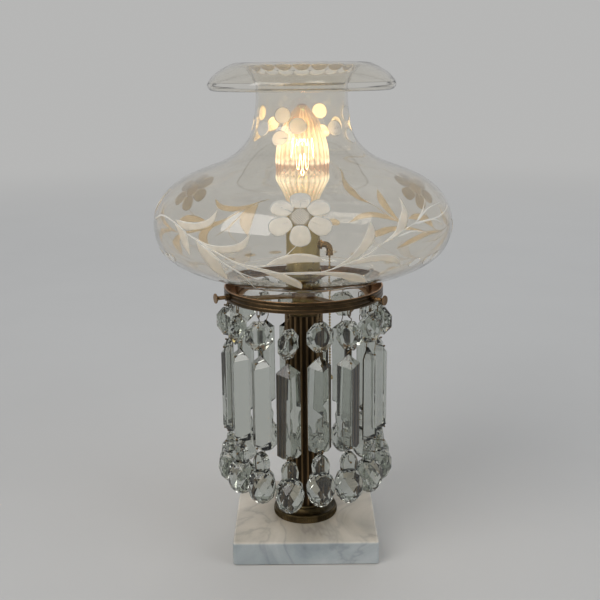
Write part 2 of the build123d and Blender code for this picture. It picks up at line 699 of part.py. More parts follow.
def crystal_ball():
    """Faceted ball under a flattened, drilled neck."""
    neck = BALL_NECK_DIA / 2
    waist = BALL_SHOULDER_DIA / 2
    neck_end = BALL_NECK_END_DIA / 2
    top = BALL_HEIGHT + BALL_NECK_HEIGHT
    widest = BALL_HEIGHT + BALL_NECK_HEIGHT / 2
    rings = [(BALL_CULET_DIA / 2, 0, 0)]
    for turn, (across, up) in enumerate(BALL_RINGS, start=1):
        rings.append((across * BALL_DIA / 2, up * BALL_HEIGHT, turn))
    last = len(BALL_RINGS) + 1
    rings += [
        (waist, BALL_HEIGHT, last),
        (neck, widest, last),
        ((neck + neck_end) / 2 + BALL_NECK_BULGE, (widest + top) / 2 + BALL_NECK_BULGE, last),
        (neck_end, top, last),
    ]
    ball = faceted(rings, BALL_SIDES)
    for side in (-1, 1):
        cheek = Box(BALL_DIA, BALL_DIA, BALL_NECK_HEIGHT, align=(Align.CENTER, Align.MIN, Align.MIN))
        cheek = Pos(0, BALL_NECK_THICK / 2, BALL_HEIGHT) * cheek
        ball -= Rot(0, 0, 90 + 90 * side) * cheek
    return ball - pin_hole(top - BALL_NECK_HOLE)


def aside(twist, distance, level):
    """Point behind a piece that has turned by twist; a negative distance is in front of it."""
    angle = math.radians(twist)
    return (-distance * math.sin(angle), distance * math.cos(angle), level)


def headed(wire, point):
    """Adds a round pin head at a wire's end."""
    return wire + Pos(*point) * Sphere(PIN_HEAD_DIA / 2)


def hanger(bead_twist, drop):
    """Ring round the hook's eye that runs down behind the bead and through its upper hole."""
    level = BEAD_CENTRE + BEAD_HOLE_SPACING / 2 - drop
    behind = bead_half_thickness() + PIN_DIA / 2 + WIRE_FIT
    front = aside(bead_twist, -bead_half_thickness() - bead_head_standoff(), level)
    ring_foot = (0, 0, HINGE_LEVEL - TOP_LINK_RADIUS)
    shoulder = aside(bead_twist, behind, BEAD_TOP - drop + PIN_DIA)
    points = [ring_foot, shoulder, aside(bead_twist, behind, level), front]
    ring = Pos(0, 0, HINGE_LEVEL) * Rot(0, 90, 0) * Torus(TOP_LINK_RADIUS, PIN_DIA / 2)
    return headed(ring + bent_wire(PIN_DIA, points, PIN_BEND), front)


def upper_pin(bead_twist, prism_twist, drop):
    """Pin from the bead's lower hole to the prism's upper hole."""
    bead_level = BEAD_CENTRE - BEAD_HOLE_SPACING / 2 - drop
    prism_level = PRISM_TOP - PRISM_TOP_HOLE - drop
    bead_behind = bead_half_thickness() + PIN_DIA / 2 + WIRE_FIT
    prism_behind = PRISM_BACK + PIN_DIA / 2 + WIRE_FIT
    reach = prism_head_reach(PRISM_TOP_HOLE, PRISM_ROOF_BEVEL)
    bead_front = aside(bead_twist, -bead_half_thickness() - bead_head_standoff(), bead_level)
    prism_head = aside(prism_twist, -reach, prism_level)
    points = [
        bead_front,
        aside(bead_twist, bead_behind, bead_level),
        aside(bead_twist, bead_behind, BEAD_FOOT - drop - PIN_DIA / 2),
        aside(prism_twist, prism_behind, PRISM_TOP - drop + PIN_DIA / 2),
        aside(prism_twist, prism_behind, prism_level),
        prism_head,
    ]
    return headed(headed(bent_wire(PIN_DIA, points, PIN_BEND), bead_front), prism_head)


def lower_pin(prism_twist, drop):
    """Pin from the prism's lower hole to the hole in the ball's neck."""
    prism_level = PRISM_FOOT + PRISM_BOTTOM_HOLE - drop
    neck_level = BALL_TOP - BALL_NECK_HOLE - drop
    behind = max(PRISM_BACK, BALL_NECK_THICK / 2) + PIN_DIA / 2 + WIRE_FIT
    reach = prism_head_reach(PRISM_BOTTOM_HOLE, PRISM_KEEL_BEVEL)
    prism_head = aside(prism_twist, -reach, prism_level)
    neck_head = aside(prism_twist, -BALL_NECK_THICK / 2 - PIN_HEAD_DIA / 2 - HEAD_FIT, neck_level)
    points = [
        prism_head,
        aside(prism_twist, behind, prism_level),
        aside(prism_twist, behind, neck_level),
        neck_head,
    ]
    return headed(headed(bent_wire(PIN_DIA, points, PIN_BEND), prism_head), neck_head)


def strand_crystals(index, bead, prism, ball):
    drop = STRAND_DROPS[index % len(STRAND_DROPS)]
    bead_turn = Rot(0, 0, BEAD_TWISTS[index % len(BEAD_TWISTS)])
    prism_turn = Rot(0, 0, PRISM_TWISTS[index % len(PRISM_TWISTS)])
    pieces = [
        Pos(0, 0, BEAD_CENTRE - drop) * bead_turn * bead,
        Pos(0, 0, PRISM_FOOT - drop) * prism_turn * prism,
        Pos(0, 0, BALL_FOOT - drop) * prism_turn * ball,
    ]
    return on_hook(index, pieces)


def strand_wires(index):
    drop = STRAND_DROPS[index % len(STRAND_DROPS)]
    bead_twist = BEAD_TWISTS[index % len(BEAD_TWISTS)]
    prism_twist = PRISM_TWISTS[index % len(PRISM_TWISTS)]
    pins = [
        hanger(bead_twist, drop),
        upper_pin(bead_twist, prism_twist, drop),
        lower_pin(prism_twist, drop),
    ]
    return on_hook(index, pins)


def on_hook(index, pieces):
    """Hangs a strand's pieces on their hook."""
    azimuth = strand_azimuth(index)
    return Compound([around(azimuth, Pos(0, -HOOK_RADIUS, 0) * piece) for piece in pieces])


# Socket


def socket_cap():
    """Spun cap: boss on the pipe, bowl, and an upright rim round the shell."""
    boss = CAP_BOSS_DIA / 2
    bowl = SOCKET_DIA / 2 + SEAT_FIT
    bowl_foot = CAP_FOOT + CAP_BOSS_HEIGHT
    floor = bowl_foot + 2 * CAP_WALL
    rim_top = BOWL_TOP + CAP_RIM_HEIGHT
    lean = ((boss + bowl) / 2 + CAP_BOWL_BULGE, (bowl_foot + BOWL_TOP) / 2 - CAP_BOWL_BULGE)
    inner = bowl - CAP_WALL
    outline = [
        Line((PIPE_HOLE, CAP_FOOT), (boss, CAP_FOOT)),
        Line((boss, CAP_FOOT), (boss, bowl_foot)),
        ThreePointArc((boss, bowl_foot), lean, (bowl + CAP_WALL, BOWL_TOP)),
        Line((bowl + CAP_WALL, BOWL_TOP), (bowl + CAP_WALL, rim_top)),
        Line((bowl + CAP_WALL, rim_top), (bowl, rim_top)),
        Line((bowl, rim_top), (bowl, BOWL_TOP)),
        Line((bowl, BOWL_TOP), (inner, BOWL_TOP)),
        ThreePointArc((inner, BOWL_TOP), (lean[0] - CAP_WALL, lean[1] + CAP_WALL), (boss, floor)),
        Line((boss, floor), (PIPE_HOLE, floor)),
        Line((PIPE_HOLE, floor), (PIPE_HOLE, CAP_FOOT)),
    ]
    return revolved(outline)


def guide_hole():
    return rod(GUIDE_ROOT_DIA / 2 + SEAT_FIT, (0, 0, GUIDE_LEVEL), (SOCKET_DIA, 0, GUIDE_LEVEL))


def socket_shell():
    """Brass shell with a rolled bead at its mouth."""
    side = SOCKET_DIA / 2
    bead = SHELL_TOP - SOCKET_BEAD_HEIGHT
    crest = (side + SOCKET_BEAD_BULGE, (bead + SHELL_TOP) / 2)
    outline = [
        Line((SHELL_BORE, SHELL_FOOT), (side, SHELL_FOOT)),
        Line((side, SHELL_FOOT), (side, bead)),
        ThreePointArc((side, bead), crest, (side, SHELL_TOP)),
        Line((side, SHELL_TOP), (SHELL_BORE, SHELL_TOP)),
        Line((SHELL_BORE, SHELL_TOP), (SHELL_BORE, SHELL_FOOT)),
    ]
    return revolved(outline) - guide_hole()


def socket_liner():
    """Cardboard sleeve inside the shell."""
    outer = SHELL_BORE - SEAT_FIT
    return tube(outer, outer - LINER_WALL, SHELL_FOOT, SHELL_TOP - SOCKET_BEAD_HEIGHT) - guide_hole()


def switch_body():
    """Moulded block that holds the pull-chain switch."""
    side = SWITCH_DIA / 2
    return turned(
        (0, SHELL_FOOT),
        (side - SWITCH_CHAMFER, SHELL_FOOT),
        (side, SHELL_FOOT + SWITCH_CHAMFER),
        (side, SWITCH_TOP),
        (0, SWITCH_TOP),
    )


def socket_contacts():
    """Screw shell and centre tongue."""
    bore = CONTACT_BORE / 2
    shell = tube(bore + CONTACT_WALL, bore, SWITCH_TOP, GLASS_FOOT - CONTACT_GAP)
    tongue = disc(TONGUE_DIA / 2, SWITCH_TOP, SWITCH_TOP + TONGUE_THICK)
    return Compound([shell, tongue])


def chain_guide():
    """Horn that leads the chain out of the shell and down."""
    start = SWITCH_DIA / 2 + SEAT_FIT
    side = SOCKET_DIA / 2 + SEAT_FIT
    collar_end = side + GUIDE_COLLAR_THICK
    mouth = GUIDE_LEVEL - GUIDE_HORN_DROP
    turn = [(start, 0, GUIDE_LEVEL), (CHAIN_OFFSET, 0, GUIDE_LEVEL), (CHAIN_OFFSET, 0, mouth)]
    horn = bent_wire(GUIDE_HORN_DIA, turn, GUIDE_HORN_BEND)
    root = rod(GUIDE_ROOT_DIA / 2, (start, 0, GUIDE_LEVEL), (side, 0, GUIDE_LEVEL))
    collar = rod(GUIDE_COLLAR_DIA / 2, (side, 0, GUIDE_LEVEL), (collar_end, 0, GUIDE_LEVEL))
    flare = turned(
        (0, mouth),
        (GUIDE_MOUTH_DIA / 2, mouth),
        (GUIDE_HORN_DIA / 2, mouth + GUIDE_MOUTH_HEIGHT),
        (0, mouth + GUIDE_MOUTH_HEIGHT),
    )
    bore = disc(GUIDE_BORE / 2, mouth, CHAIN_TOP + CHAIN_PITCH)
    return root + horn + collar + Pos(CHAIN_OFFSET, 0, 0) * flare - Pos(CHAIN_OFFSET, 0, 0) * bore


# Pull chain


def ball_chain():
    """Balls on a wire, one to each pitch."""
    wire = CHAIN_WIRE_DIA / 2
    ball = CHAIN_BALL_DIA / 2
    reach = math.sqrt(ball**2 - wire**2)
    foot = CHAIN_TOP - CHAIN_BALLS * CHAIN_PITCH
    outline = [Line((0, foot), (wire, foot))]
    level = foot
    for index in range(CHAIN_BALLS):
        centre = foot + (index + 0.5) * CHAIN_PITCH
        outline.append(Line((wire, level), (wire, centre - reach)))
        outline.append(ThreePointArc((wire, centre - reach), (ball, centre), (wire, centre + reach)))
        level = centre + reach
    outline += [
        Line((wire, level), (wire, CHAIN_TOP)),
        Line((wire, CHAIN_TOP), (0, CHAIN_TOP)),
        Line((0, CHAIN_TOP), (0, foot)),
    ]
    return Pos(CHAIN_OFFSET, 0, 0) * revolved(outline)


def chain_bell():
    """Bell-shaped weight at the chain's end."""
    top = CHAIN_TOP - CHAIN_BALLS * CHAIN_PITCH
    low = top - BELL_LENGTH
    narrow = BELL_TOP_DIA / 2
    wide = BELL_DIA / 2
    lip = low + BELL_LIP_HEIGHT
    shoulder = top - BELL_SOCKET_LENGTH
    hollow = (narrow + HOLLOW * (wide - narrow), lip + HOLLOW * (shoulder - lip))
    outline = [
        Line((0, top), (narrow, top)),
        Line((narrow, top), (narrow, shoulder)),
        ThreePointArc((narrow, shoulder), hollow, (wide, lip)),
        Line((wide, lip), (wide, low)),
        Line((wide, low), (0, low)),
        Line((0, low), (0, top)),
    ]
    return Pos(CHAIN_OFFSET, 0, 0) * revolved(outline)


# Bulb


def bulb_base():
    """Threaded base with its insulator, and the contact at its tip."""
    crest = BULB_BASE_DIA / 2
    root = crest - BULB_THREAD_DEPTH
    pitch = BULB_BASE_HEIGHT / (BULB_THREADS + 1)
    outline = [
        Line((0, BULB_BASE_FOOT), (BULB_TIP_DIA / 2, BULB_BASE_FOOT)),
        Line((BULB_TIP_DIA / 2, BULB_BASE_FOOT), (root, THREAD_FOOT)),
    ]
    for index in range(BULB_THREADS):
        level = THREAD_FOOT + index * pitch
        outline.append(ThreePointArc((root, level), (crest, level + pitch / 2), (root, level + pitch)))
    outline += [
        Line((root, GLASS_FOOT - pitch), (root, GLASS_FOOT)),
        Line((root, GLASS_FOOT), (0, GLASS_FOOT)),
        Line((0, GLASS_FOOT), (0, BULB_BASE_FOOT)),
    ]
    tip = disc(BULB_TIP_DIA / 2, BULB_FOOT, BULB_BASE_FOOT)
    return Compound([revolved(outline), tip])


def bulb_bowl(neck, side):
    """Outline of the glass from the base out to the waist band."""
    foot = (neck, 0)
    waist = (side, BULB_BOWL_HEIGHT)
    return Spline(foot, *between(foot, waist, BOWL_CURVE), waist, tangents=[(0, 1), (0, 1)])


def bulb_dome(side):
    """Outline of the bullet-shaped dome, from the waist band to the tip."""
    foot = (side, BULB_BOWL_HEIGHT + BULB_BAND_HEIGHT)
    tip = (0, foot[1] + BULB_DOME_HEIGHT)
    return Spline(foot, *between(foot, tip, DOME_CURVE), tip, tangents=[(0, 1), (-1, 0)])


def bulb_envelope():
    """Blown bulb with its stem."""
    neck = BULB_NECK_DIA / 2
    side = BULB_DIA / 2
    band_top = BULB_BOWL_HEIGHT + BULB_BAND_HEIGHT
    bowl = bulb_bowl(neck, side)
    dome = bulb_dome(side)
    bowl_inner = beside(bowl, -BULB_WALL, BULB_STATIONS)
    dome_inner = beside(dome, -BULB_WALL, BULB_STATIONS)
    stem = STEM_DIA / 2
    stem_tip = STEM_TIP_DIA / 2
    outline = [
        bowl,
        Line((side, BULB_BOWL_HEIGHT), (side, band_top)),
        dome,
        Line(flat(dome @ 1), flat(dome_inner @ 1)),
        dome_inner,
        Line(flat(dome_inner @ 0), flat(bowl_inner @ 1)),
        bowl_inner,
        Line(flat(bowl_inner @ 0), (neck - BULB_WALL, BULB_WALL)),
        Line((neck - BULB_WALL, BULB_WALL), (stem, 2 * BULB_WALL)),
        Line((stem, 2 * BULB_WALL), (stem_tip, STEM_HEIGHT)),
        Line((stem_tip, STEM_HEIGHT), (0, STEM_HEIGHT)),
        Line((0, STEM_HEIGHT), (0, 0)),
        Line((0, 0), (neck, 0)),
    ]
    return Pos(0, 0, GLASS_FOOT) * revolved(outline)


def bulb_filament():
    """Support wires and zigzag filament in one run."""
    low = GLASS_FOOT + STEM_HEIGHT + CONTACT_GAP
    high = low + FILAMENT_RISE
    half = FILAMENT_SPAN / 2
    root = STEM_TIP_DIA / 4
    points = [
        (-root, 0, low),
        (-half, 0, high),
        (-half / 2, 0, high + FILAMENT_PEAK),
        (0, 0, high),
        (half / 2, 0, high + FILAMENT_PEAK),
        (half, 0, high),
        (root, 0, low),
    ]
    return bent_wire(FILAMENT_WIRE_DIA, points, FILAMENT_WIRE_DIA)


# Shade


def shade_line():
    """Middle of the shade's wall above its fitter: belly, shoulder, throat and turned-down lip."""
    half = SHADE_WALL / 2
    foot = (SHADE_FITTER_DIA / 2 - half, SHADE_FITTER_HEIGHT)
    bend = JernArc(foot, (0, 1), SHADE_FITTER_BEND, -SHADE_FITTER_TURN)
    start = flat(bend @ 1)
    belly = (SHADE_DIA / 2 - half, SHADE_BELLY_LEVEL)
    throat = (SHADE_THROAT_DIA / 2 - half, SHADE_THROAT_LEVEL)
    lip = (SHADE_LIP_DIA / 2 - half, SHADE_HEIGHT - half)
    points = [start, *between(start, belly, BELLY_CURVE), belly]
    points += [*between(belly, throat, SHOULDER_CURVE), throat]
    points += between(throat, lip, LIP_CURVE + (LIP_END,))
    return Spline(*points, tangents=[flat(bend % 1), (-1, -1)])


def whole_shade():
    """Blown shade of even wall, open at the fitter and at the top."""
    half = SHADE_WALL / 2
    line = shade_line()
    sides = []
    for offset in (half, -half):
        foot = (SHADE_FITTER_DIA / 2 - half + offset, 0)
        bend_start = (foot[0], SHADE_FITTER_HEIGHT)
        bend = JernArc(bend_start, (0, 1), SHADE_FITTER_BEND - offset, -SHADE_FITTER_TURN)
        sides.append([Line(foot, bend_start), bend, beside(line, offset, SHADE_STATIONS)])
    outer, inner = sides
    lip_end = line @ 1 + (line % 1) * half
    lip = ThreePointArc(flat(outer[-1] @ 1), flat(lip_end), flat(inner[-1] @ 1))
    foot = Line(flat(outer[0] @ 0), flat(inner[0] @ 0))
    return Pos(0, 0, SHADE_FOOT) * revolved([*outer, lip, *inner, foot])


def shade_band(shade, bottom, top):
    """The part of the shade between two heights above its foot."""
    return shade & disc(SHADE_DIA, SHADE_FOOT + bottom, SHADE_FOOT + top)


def shade_nodes():
    """The shade in the simple bands that its one piece of glass is made up of."""
    shade = whole_shade()
    neck = shade_band(shade, SHADE_NECK_LEVEL, SHADE_THROAT_LEVEL)
    lip = shade_band(shade, SHADE_THROAT_LEVEL, SHADE_HEIGHT + SHADE_WALL)
    return {
        "shade_fitter": shade_band(shade, 0, SHADE_FITTER_HEIGHT),
        "shade_bowl": shade_band(shade, SHADE_FITTER_HEIGHT, SHADE_BELLY_LEVEL),
        "shade_shoulder": shade_band(shade, SHADE_BELLY_LEVEL, SHADE_NECK_LEVEL),
        "shade_neck": Compound([*neck.solids(), *lip.solids()]),
    }


def lamp_nodes():
    """Every node of the lamp by name."""
    nodes = {
        "felt_pad": felt_pad(),
        "marble_base": marble_base(),
        "cord_bushing": cord_bushing(),
        "lamp_pipe": lamp_pipe(),
        "foot_flange": foot_flange(),
        "column_shaft": column_shaft(),
        "column_cap": column_cap(),
        "column_neck": column_neck(),
        "gallery_spider": gallery_spider(),
        "gallery_ring": gallery_ring(),
        "hook_eyes": hook_eyes(),
        "socket_cap": socket_cap(),
        "socket_shell": socket_shell(),
        "socket_liner": socket_liner(),
        "switch_body": switch_body(),
        "socket_contacts": socket_contacts(),
        "chain_guide": chain_guide(),
        "pull_chain": Compound([ball_chain(), chain_bell()]),
        "bulb_base": bulb_base(),
        "bulb_envelope": bulb_envelope(),
        "bulb_filament": bulb_filament(),
        **shade_nodes(),
    }
    for side, azimuth in SCREW_AZIMUTHS.items():
        nodes["thumb_screw_" + side] = thumb_screw(azimuth)
    bead = octagon_bead()
    prism = prism_bar()
    ball = crystal_ball()
    for index in range(STRAND_COUNT):
        nodes[f"crystals_{index + 1:02d}"] = strand_crystals(index, bead, prism, ball)
        nodes[f"pins_{index + 1:02d}"] = strand_wires(index)
    return nodes


os.makedirs("parts", exist_ok=True)
for name, shape in lamp_nodes().items():
    export_step(shape, f"parts/{name}.step")
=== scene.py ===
import math

import bmesh
import bpy
import numpy as np
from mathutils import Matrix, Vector

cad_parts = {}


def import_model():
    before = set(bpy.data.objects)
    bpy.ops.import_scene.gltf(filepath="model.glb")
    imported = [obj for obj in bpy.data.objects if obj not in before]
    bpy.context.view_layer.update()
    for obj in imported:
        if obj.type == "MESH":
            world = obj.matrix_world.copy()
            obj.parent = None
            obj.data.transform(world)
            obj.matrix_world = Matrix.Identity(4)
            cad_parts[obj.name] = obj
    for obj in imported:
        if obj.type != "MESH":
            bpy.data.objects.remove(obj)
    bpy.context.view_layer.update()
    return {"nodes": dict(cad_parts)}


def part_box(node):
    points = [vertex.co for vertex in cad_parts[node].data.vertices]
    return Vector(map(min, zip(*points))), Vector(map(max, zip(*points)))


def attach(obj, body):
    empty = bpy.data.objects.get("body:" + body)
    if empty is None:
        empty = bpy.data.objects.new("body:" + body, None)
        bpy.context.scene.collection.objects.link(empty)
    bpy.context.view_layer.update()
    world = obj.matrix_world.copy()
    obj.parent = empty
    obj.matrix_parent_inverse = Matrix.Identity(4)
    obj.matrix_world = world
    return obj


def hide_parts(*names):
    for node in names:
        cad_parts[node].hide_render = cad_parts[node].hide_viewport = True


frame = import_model()
NODES = frame["nodes"]
MM = 0.001
# Two places nearer than this, in metres, count as one
NEAR = 1e-6

# ---------------------------------------------------------------- camera

EYE = Vector((-0.0015, -0.9643, 0.5055))
PITCH_DOWN = 13.96
ROLL = 0.55
LENS = 56.6
SENSOR = 36.0

camera_data = bpy.data.cameras.new("camera")
camera_data.sensor_width = SENSOR
camera_data.lens = LENS
camera_data.clip_start = 0.01
camera_data.clip_end = 50.0
camera = bpy.data.objects.new("camera", camera_data)
bpy.context.scene.collection.objects.link(camera)
camera.location = EYE
camera.rotation_euler = (math.radians(90 - PITCH_DOWN), math.radians(ROLL), 0.0)
bpy.context.scene.camera = camera


# ---------------------------------------------------------------- material kit


class Paint:
    """A node material with one Principled shader, and short calls to build what feeds it."""

    def __init__(self, name, **values):
        self.material = bpy.data.materials.new(name)
        self.material.use_nodes = True
        self.tree = self.material.node_tree
        self.shader = self.tree.nodes["Principled BSDF"]
        self.where = self.tree.nodes.new("ShaderNodeTexCoord").outputs["Object"]
        for socket, value in values.items():
            self.shader.inputs[socket.replace("_", " ")].default_value = value

    def node(self, kind, links=(), **settings):
        """A new node: sockets are linked or set to a value, and settings are its properties."""
        made = self.tree.nodes.new("ShaderNode" + kind)
        for key, value in settings.items():
            setattr(made, key, value)
        for socket, source in dict(links).items():
            if isinstance(source, bpy.types.NodeSocket):
                self.tree.links.new(source, made.inputs[socket])
            else:
                made.inputs[socket].default_value = source
        return made

    def noise(self, scale, detail=4.0, roughness=0.55, distortion=0.0, where=None):
        links = {"Vector": where or self.where, "Scale": scale, "Detail": detail}
        links.update({"Roughness": roughness, "Distortion": distortion})
        return self.node("TexNoise", links).outputs["Fac"]

    def stretched(self, scale):
        """Coordinates scaled differently along X, Y and Z."""
        return self.node("Mapping", {"Vector": self.where, "Scale": scale}).outputs["Vector"]

    def ramp(self, factor, *stops):
        made = self.node("ValToRGB", {"Fac": factor})
        elements = made.color_ramp.elements
        while len(elements) < len(stops):
            elements.new(0.5)
        for element, (position, color) in zip(elements, stops):
            element.position = position
            element.color = (*color, 1.0) if len(color) == 3 else color
        return made.outputs["Color"]

    def steps(self, factor, low, high, out_low=0.0, out_high=1.0):
        """The factor's range from low to high, spread over another range and held at its ends."""
        links = {"Value": factor, "From Min": low, "From Max": high}
        links.update({"To Min": out_low, "To Max": out_high})
        return self.node("MapRange", links).outputs["Result"]

    def maths(self, operation, first, second=0.0):
        return self.node("Math", {0: first, 1: second}, operation=operation).outputs[0]

    def mix(self, factor, first, second, blend="MIX"):
        made = self.node("MixRGB", {"Fac": factor, "Color1": first, "Color2": second}, blend_type=blend)
        return made.outputs["Color"]

    def radius(self):
        """Distance from the lamp's upright axis, in metres."""
        flat = self.node("VectorMath", {0: self.where, 1: (1.0, 1.0, 0.0)}, operation="MULTIPLY")
        return self.node("VectorMath", {0: flat.outputs["Vector"]}, operation="LENGTH").outputs["Value"]

    def height(self):
        """Height over the foot of the lamp, in metres."""
        return self.node("SeparateXYZ", {"Vector": self.where}).outputs["Z"]

    def feed(self, **sources):
        """Links node outputs to the shader's sockets of those names."""
        for socket, source in sources.items():
            self.tree.links.new(source, self.shader.inputs[socket.replace("_", " ")])

    def bump(self, height, strength, distance):
        links = {"Height": height, "Strength": strength, "Distance": distance}
        made = self.node("Bump", links)
        self.tree.links.new(made.outputs["Normal"], self.shader.inputs["Normal"])


# ---------------------------------------------------------------- metals

# Floor of a flute and crest of a reed on the column, in metres from the axis; the colour goes from
# painted shade at the floor to brown at the crest
FLUTE_RADII = (0.0186, 0.0203)
# Inside this pair of radii the gallery's ring shows its inner face, painted lighter and coppery as
# painted light from the bulb
RING_INSIDE_RADII = (0.0812, 0.0822)


def cast_brass(name, dark, middle, bright, gloss, wear=0.5):
    """Antique brass: brown lacquer in patches, rubbed brighter where noise says."""
    paint = Paint(name, Metallic=1.0)
    patches = paint.noise(55.0, 5.0, 0.6, 0.4)
    grain = paint.noise(900.0, 3.0, 0.6)
    tone = paint.ramp(patches, (0.30, dark), (wear, middle), (0.74, bright))
    speck = paint.ramp(grain, (0.38, (0.62, 0.6, 0.58)), (0.6, (1.0, 1.0, 1.0)))
    paint.feed(Base_Color=paint.mix(0.55, tone, speck, "MULTIPLY"))
    paint.feed(Roughness=paint.steps(paint.noise(160.0, 4.0), 0.3, 0.7, gloss - 0.07, gloss + 0.12))
    paint.bump(grain, 0.12, 0.0003)
    return paint


def fluted_brass():
    """Column: nearly black in the flutes with painted shade, warm brown on the reeds."""
    paint = Paint("column_brass", Metallic=1.0)
    share = paint.steps(paint.radius(), *FLUTE_RADII)
    patches = paint.noise(38.0, 5.0, 0.6, 0.3, paint.stretched((1.0, 1.0, 0.35)))
    crest = paint.ramp(patches, (0.3, (0.125, 0.082, 0.040)), (0.7, (0.26, 0.17, 0.088)))
    # Painted shade: the near-black flute colour stands for the shade that falls in the flutes
    hollow = paint.ramp(patches, (0.3, (0.020, 0.014, 0.008)), (0.7, (0.055, 0.037, 0.020)))
    tone = paint.mix(paint.steps(share, 0.15, 0.95), hollow, crest)
    grain = paint.noise(1100.0, 3.0, 0.6, 0.0, paint.stretched((1.0, 1.0, 0.2)))
    speck = paint.ramp(grain, (0.35, (0.7, 0.68, 0.66)), (0.6, (1.0, 1.0, 1.0)))
    paint.feed(Base_Color=paint.mix(0.6, tone, speck, "MULTIPLY"))
    paint.feed(Roughness=paint.steps(share, 0.0, 1.0, 0.55, 0.32))
    paint.bump(grain, 0.1, 0.0003)
    return paint


def reeded_brass():
    """Gallery band: dark reeds with painted highlights, coppery lines between them and along the rim,
    and painted light from the bulb on its inner face.
    """
    paint = Paint("gallery_ring_brass", Metallic=1.0)
    ring_low, ring_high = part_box("gallery_ring")
    share = paint.steps(paint.height(), ring_low.z, ring_high.z)
    dark = (0.075, 0.052, 0.028)
    copper = (0.62, 0.37, 0.21)
    highlight_line = (0.34, 0.21, 0.115)
    # Painted highlights: lighter lines between the reeds and a coppery line along the top rim
    lines = paint.ramp(
        share,
        (0.0, (0.30, 0.19, 0.11)),
        (0.07, dark),
        (0.30, dark),
        (0.325, highlight_line),
        (0.35, dark),
        (0.685, dark),
        (0.71, highlight_line),
        (0.735, dark),
        (0.955, dark),
        (0.985, copper),
    )
    patches = paint.noise(70.0, 5.0, 0.6, 0.4)
    worn = paint.ramp(patches, (0.35, (0.55, 0.55, 0.55)), (0.7, (1.25, 1.2, 1.15)))
    # Painted light: inside these radii the inner face is painted coppery and lighter, as lit by the bulb
    band_share = paint.steps(paint.radius(), *RING_INSIDE_RADII)
    coppery = paint.ramp(patches, (0.35, (0.34, 0.20, 0.11)), (0.7, (0.55, 0.34, 0.19)))
    band = paint.mix(1.0, lines, worn, "MULTIPLY")
    grain = paint.noise(1200.0, 2.0)
    paint.feed(Base_Color=paint.mix(band_share, coppery, band))
    paint.feed(Roughness=paint.steps(patches, 0.3, 0.7, 0.26, 0.42))
    paint.bump(grain, 0.08, 0.0002)
    return paint


def spun_brass(name, base, gloss):
    """Lacquered sheet brass with fine turning lines round the axis."""
    paint = Paint(name, Metallic=1.0)
    lines = paint.noise(2600.0, 2.0, 0.5, 0.0, paint.stretched((0.02, 0.02, 1.0)))
    cloud = paint.noise(80.0, 4.0)
    tint = [0.72 * c for c in base]
    paint.feed(Base_Color=paint.mix(paint.steps(cloud, 0.3, 0.7), (*tint, 1.0), (*base, 1.0)))
    paint.feed(Roughness=paint.steps(cloud, 0.3, 0.7, gloss - 0.05, gloss + 0.08))
    paint.bump(lines, 0.06, 0.0002)
    return paint


# ---------------------------------------------------------------- stone, felt and small pieces


def marble():
    """Pale marble: soft clouds, with painted light warming and lightening the top and painted shade
    cooling and darkening the sides.
    """
    paint = Paint("marble", Roughness=0.22, Coat_Weight=0.3, Coat_Roughness=0.1)
    cloud = paint.noise(8.0, 4.0, 0.5, 1.1)
    cool = paint.ramp(
        cloud,
        (0.30, (0.22, 0.26, 0.28)),
        (0.47, (0.37, 0.41, 0.42)),
        (0.68, (0.54, 0.56, 0.56)),
    )
    warm = paint.ramp(
        cloud,
        (0.30, (0.42, 0.40, 0.36)),
        (0.46, (0.58, 0.54, 0.47)),
        (0.66, (0.72, 0.67, 0.59)),
    )
    # Painted light and shade: faces turned upward take the lit, warmer colour and faces turned sideways
    # the shaded, cooler one
    normal = paint.node("NewGeometry").outputs["Normal"]
    facing = paint.node("SeparateXYZ", {"Vector": normal}).outputs["Z"]
    tone = paint.mix(paint.steps(facing, 0.2, 0.8), cool, warm)
    wander = paint.noise(7.0, 4.0, 0.55, 1.8)
    near = paint.maths("ABSOLUTE", paint.maths("SUBTRACT", wander, 0.5))
    vein = paint.ramp(
        near,
        (0.0, (0.66, 0.67, 0.69)),
        (0.03, (0.90, 0.90, 0.90)),
        (0.09, (1.0, 1.0, 1.0)),
    )
    grain = paint.noise(700.0, 3.0)
    sugar = paint.ramp(grain, (0.3, (0.94, 0.94, 0.94)), (0.65, (1.0, 1.0, 1.0)))
    veined = paint.mix(0.7, tone, vein, "MULTIPLY")
    paint.feed(Base_Color=paint.mix(0.7, veined, sugar, "MULTIPLY"))
    paint.bump(grain, 0.03, 0.0002)
    return paint


def felt():
    """Dark green felt with a soft nap."""
    paint = Paint("felt", Roughness=0.95, Sheen_Weight=0.4)
    fibre = paint.noise(1500.0, 4.0, 0.7, 1.0)
    green = paint.ramp(fibre, (0.35, (0.035, 0.055, 0.035)), (0.65, (0.11, 0.15, 0.10)))
    paint.feed(Base_Color=green)
    paint.bump(fibre, 0.5, 0.0004)
    return paint


def plain(name, dull, bright, roughness, metallic=0.0):
    """Hidden or small pieces: slight variation of colour and gloss."""
    paint = Paint(name, Metallic=metallic)
    cloud = paint.noise(400.0, 3.0)
    paint.feed(Base_Color=paint.ramp(cloud, (0.35, dull), (0.65, bright)))
    paint.feed(Roughness=paint.steps(cloud, 0.3, 0.7, roughness - 0.05, roughness + 0.08))
    paint.bump(cloud, 0.08, 0.0002)
    return paint


# ---------------------------------------------------------------- glass

BULB_RIBS = 26
BULB_GLOW = 0.42
# Thickness in nanometres of the lustre on the bulb's glass
BULB_FILM = 430.0
FILAMENT_GLOW = 30.0


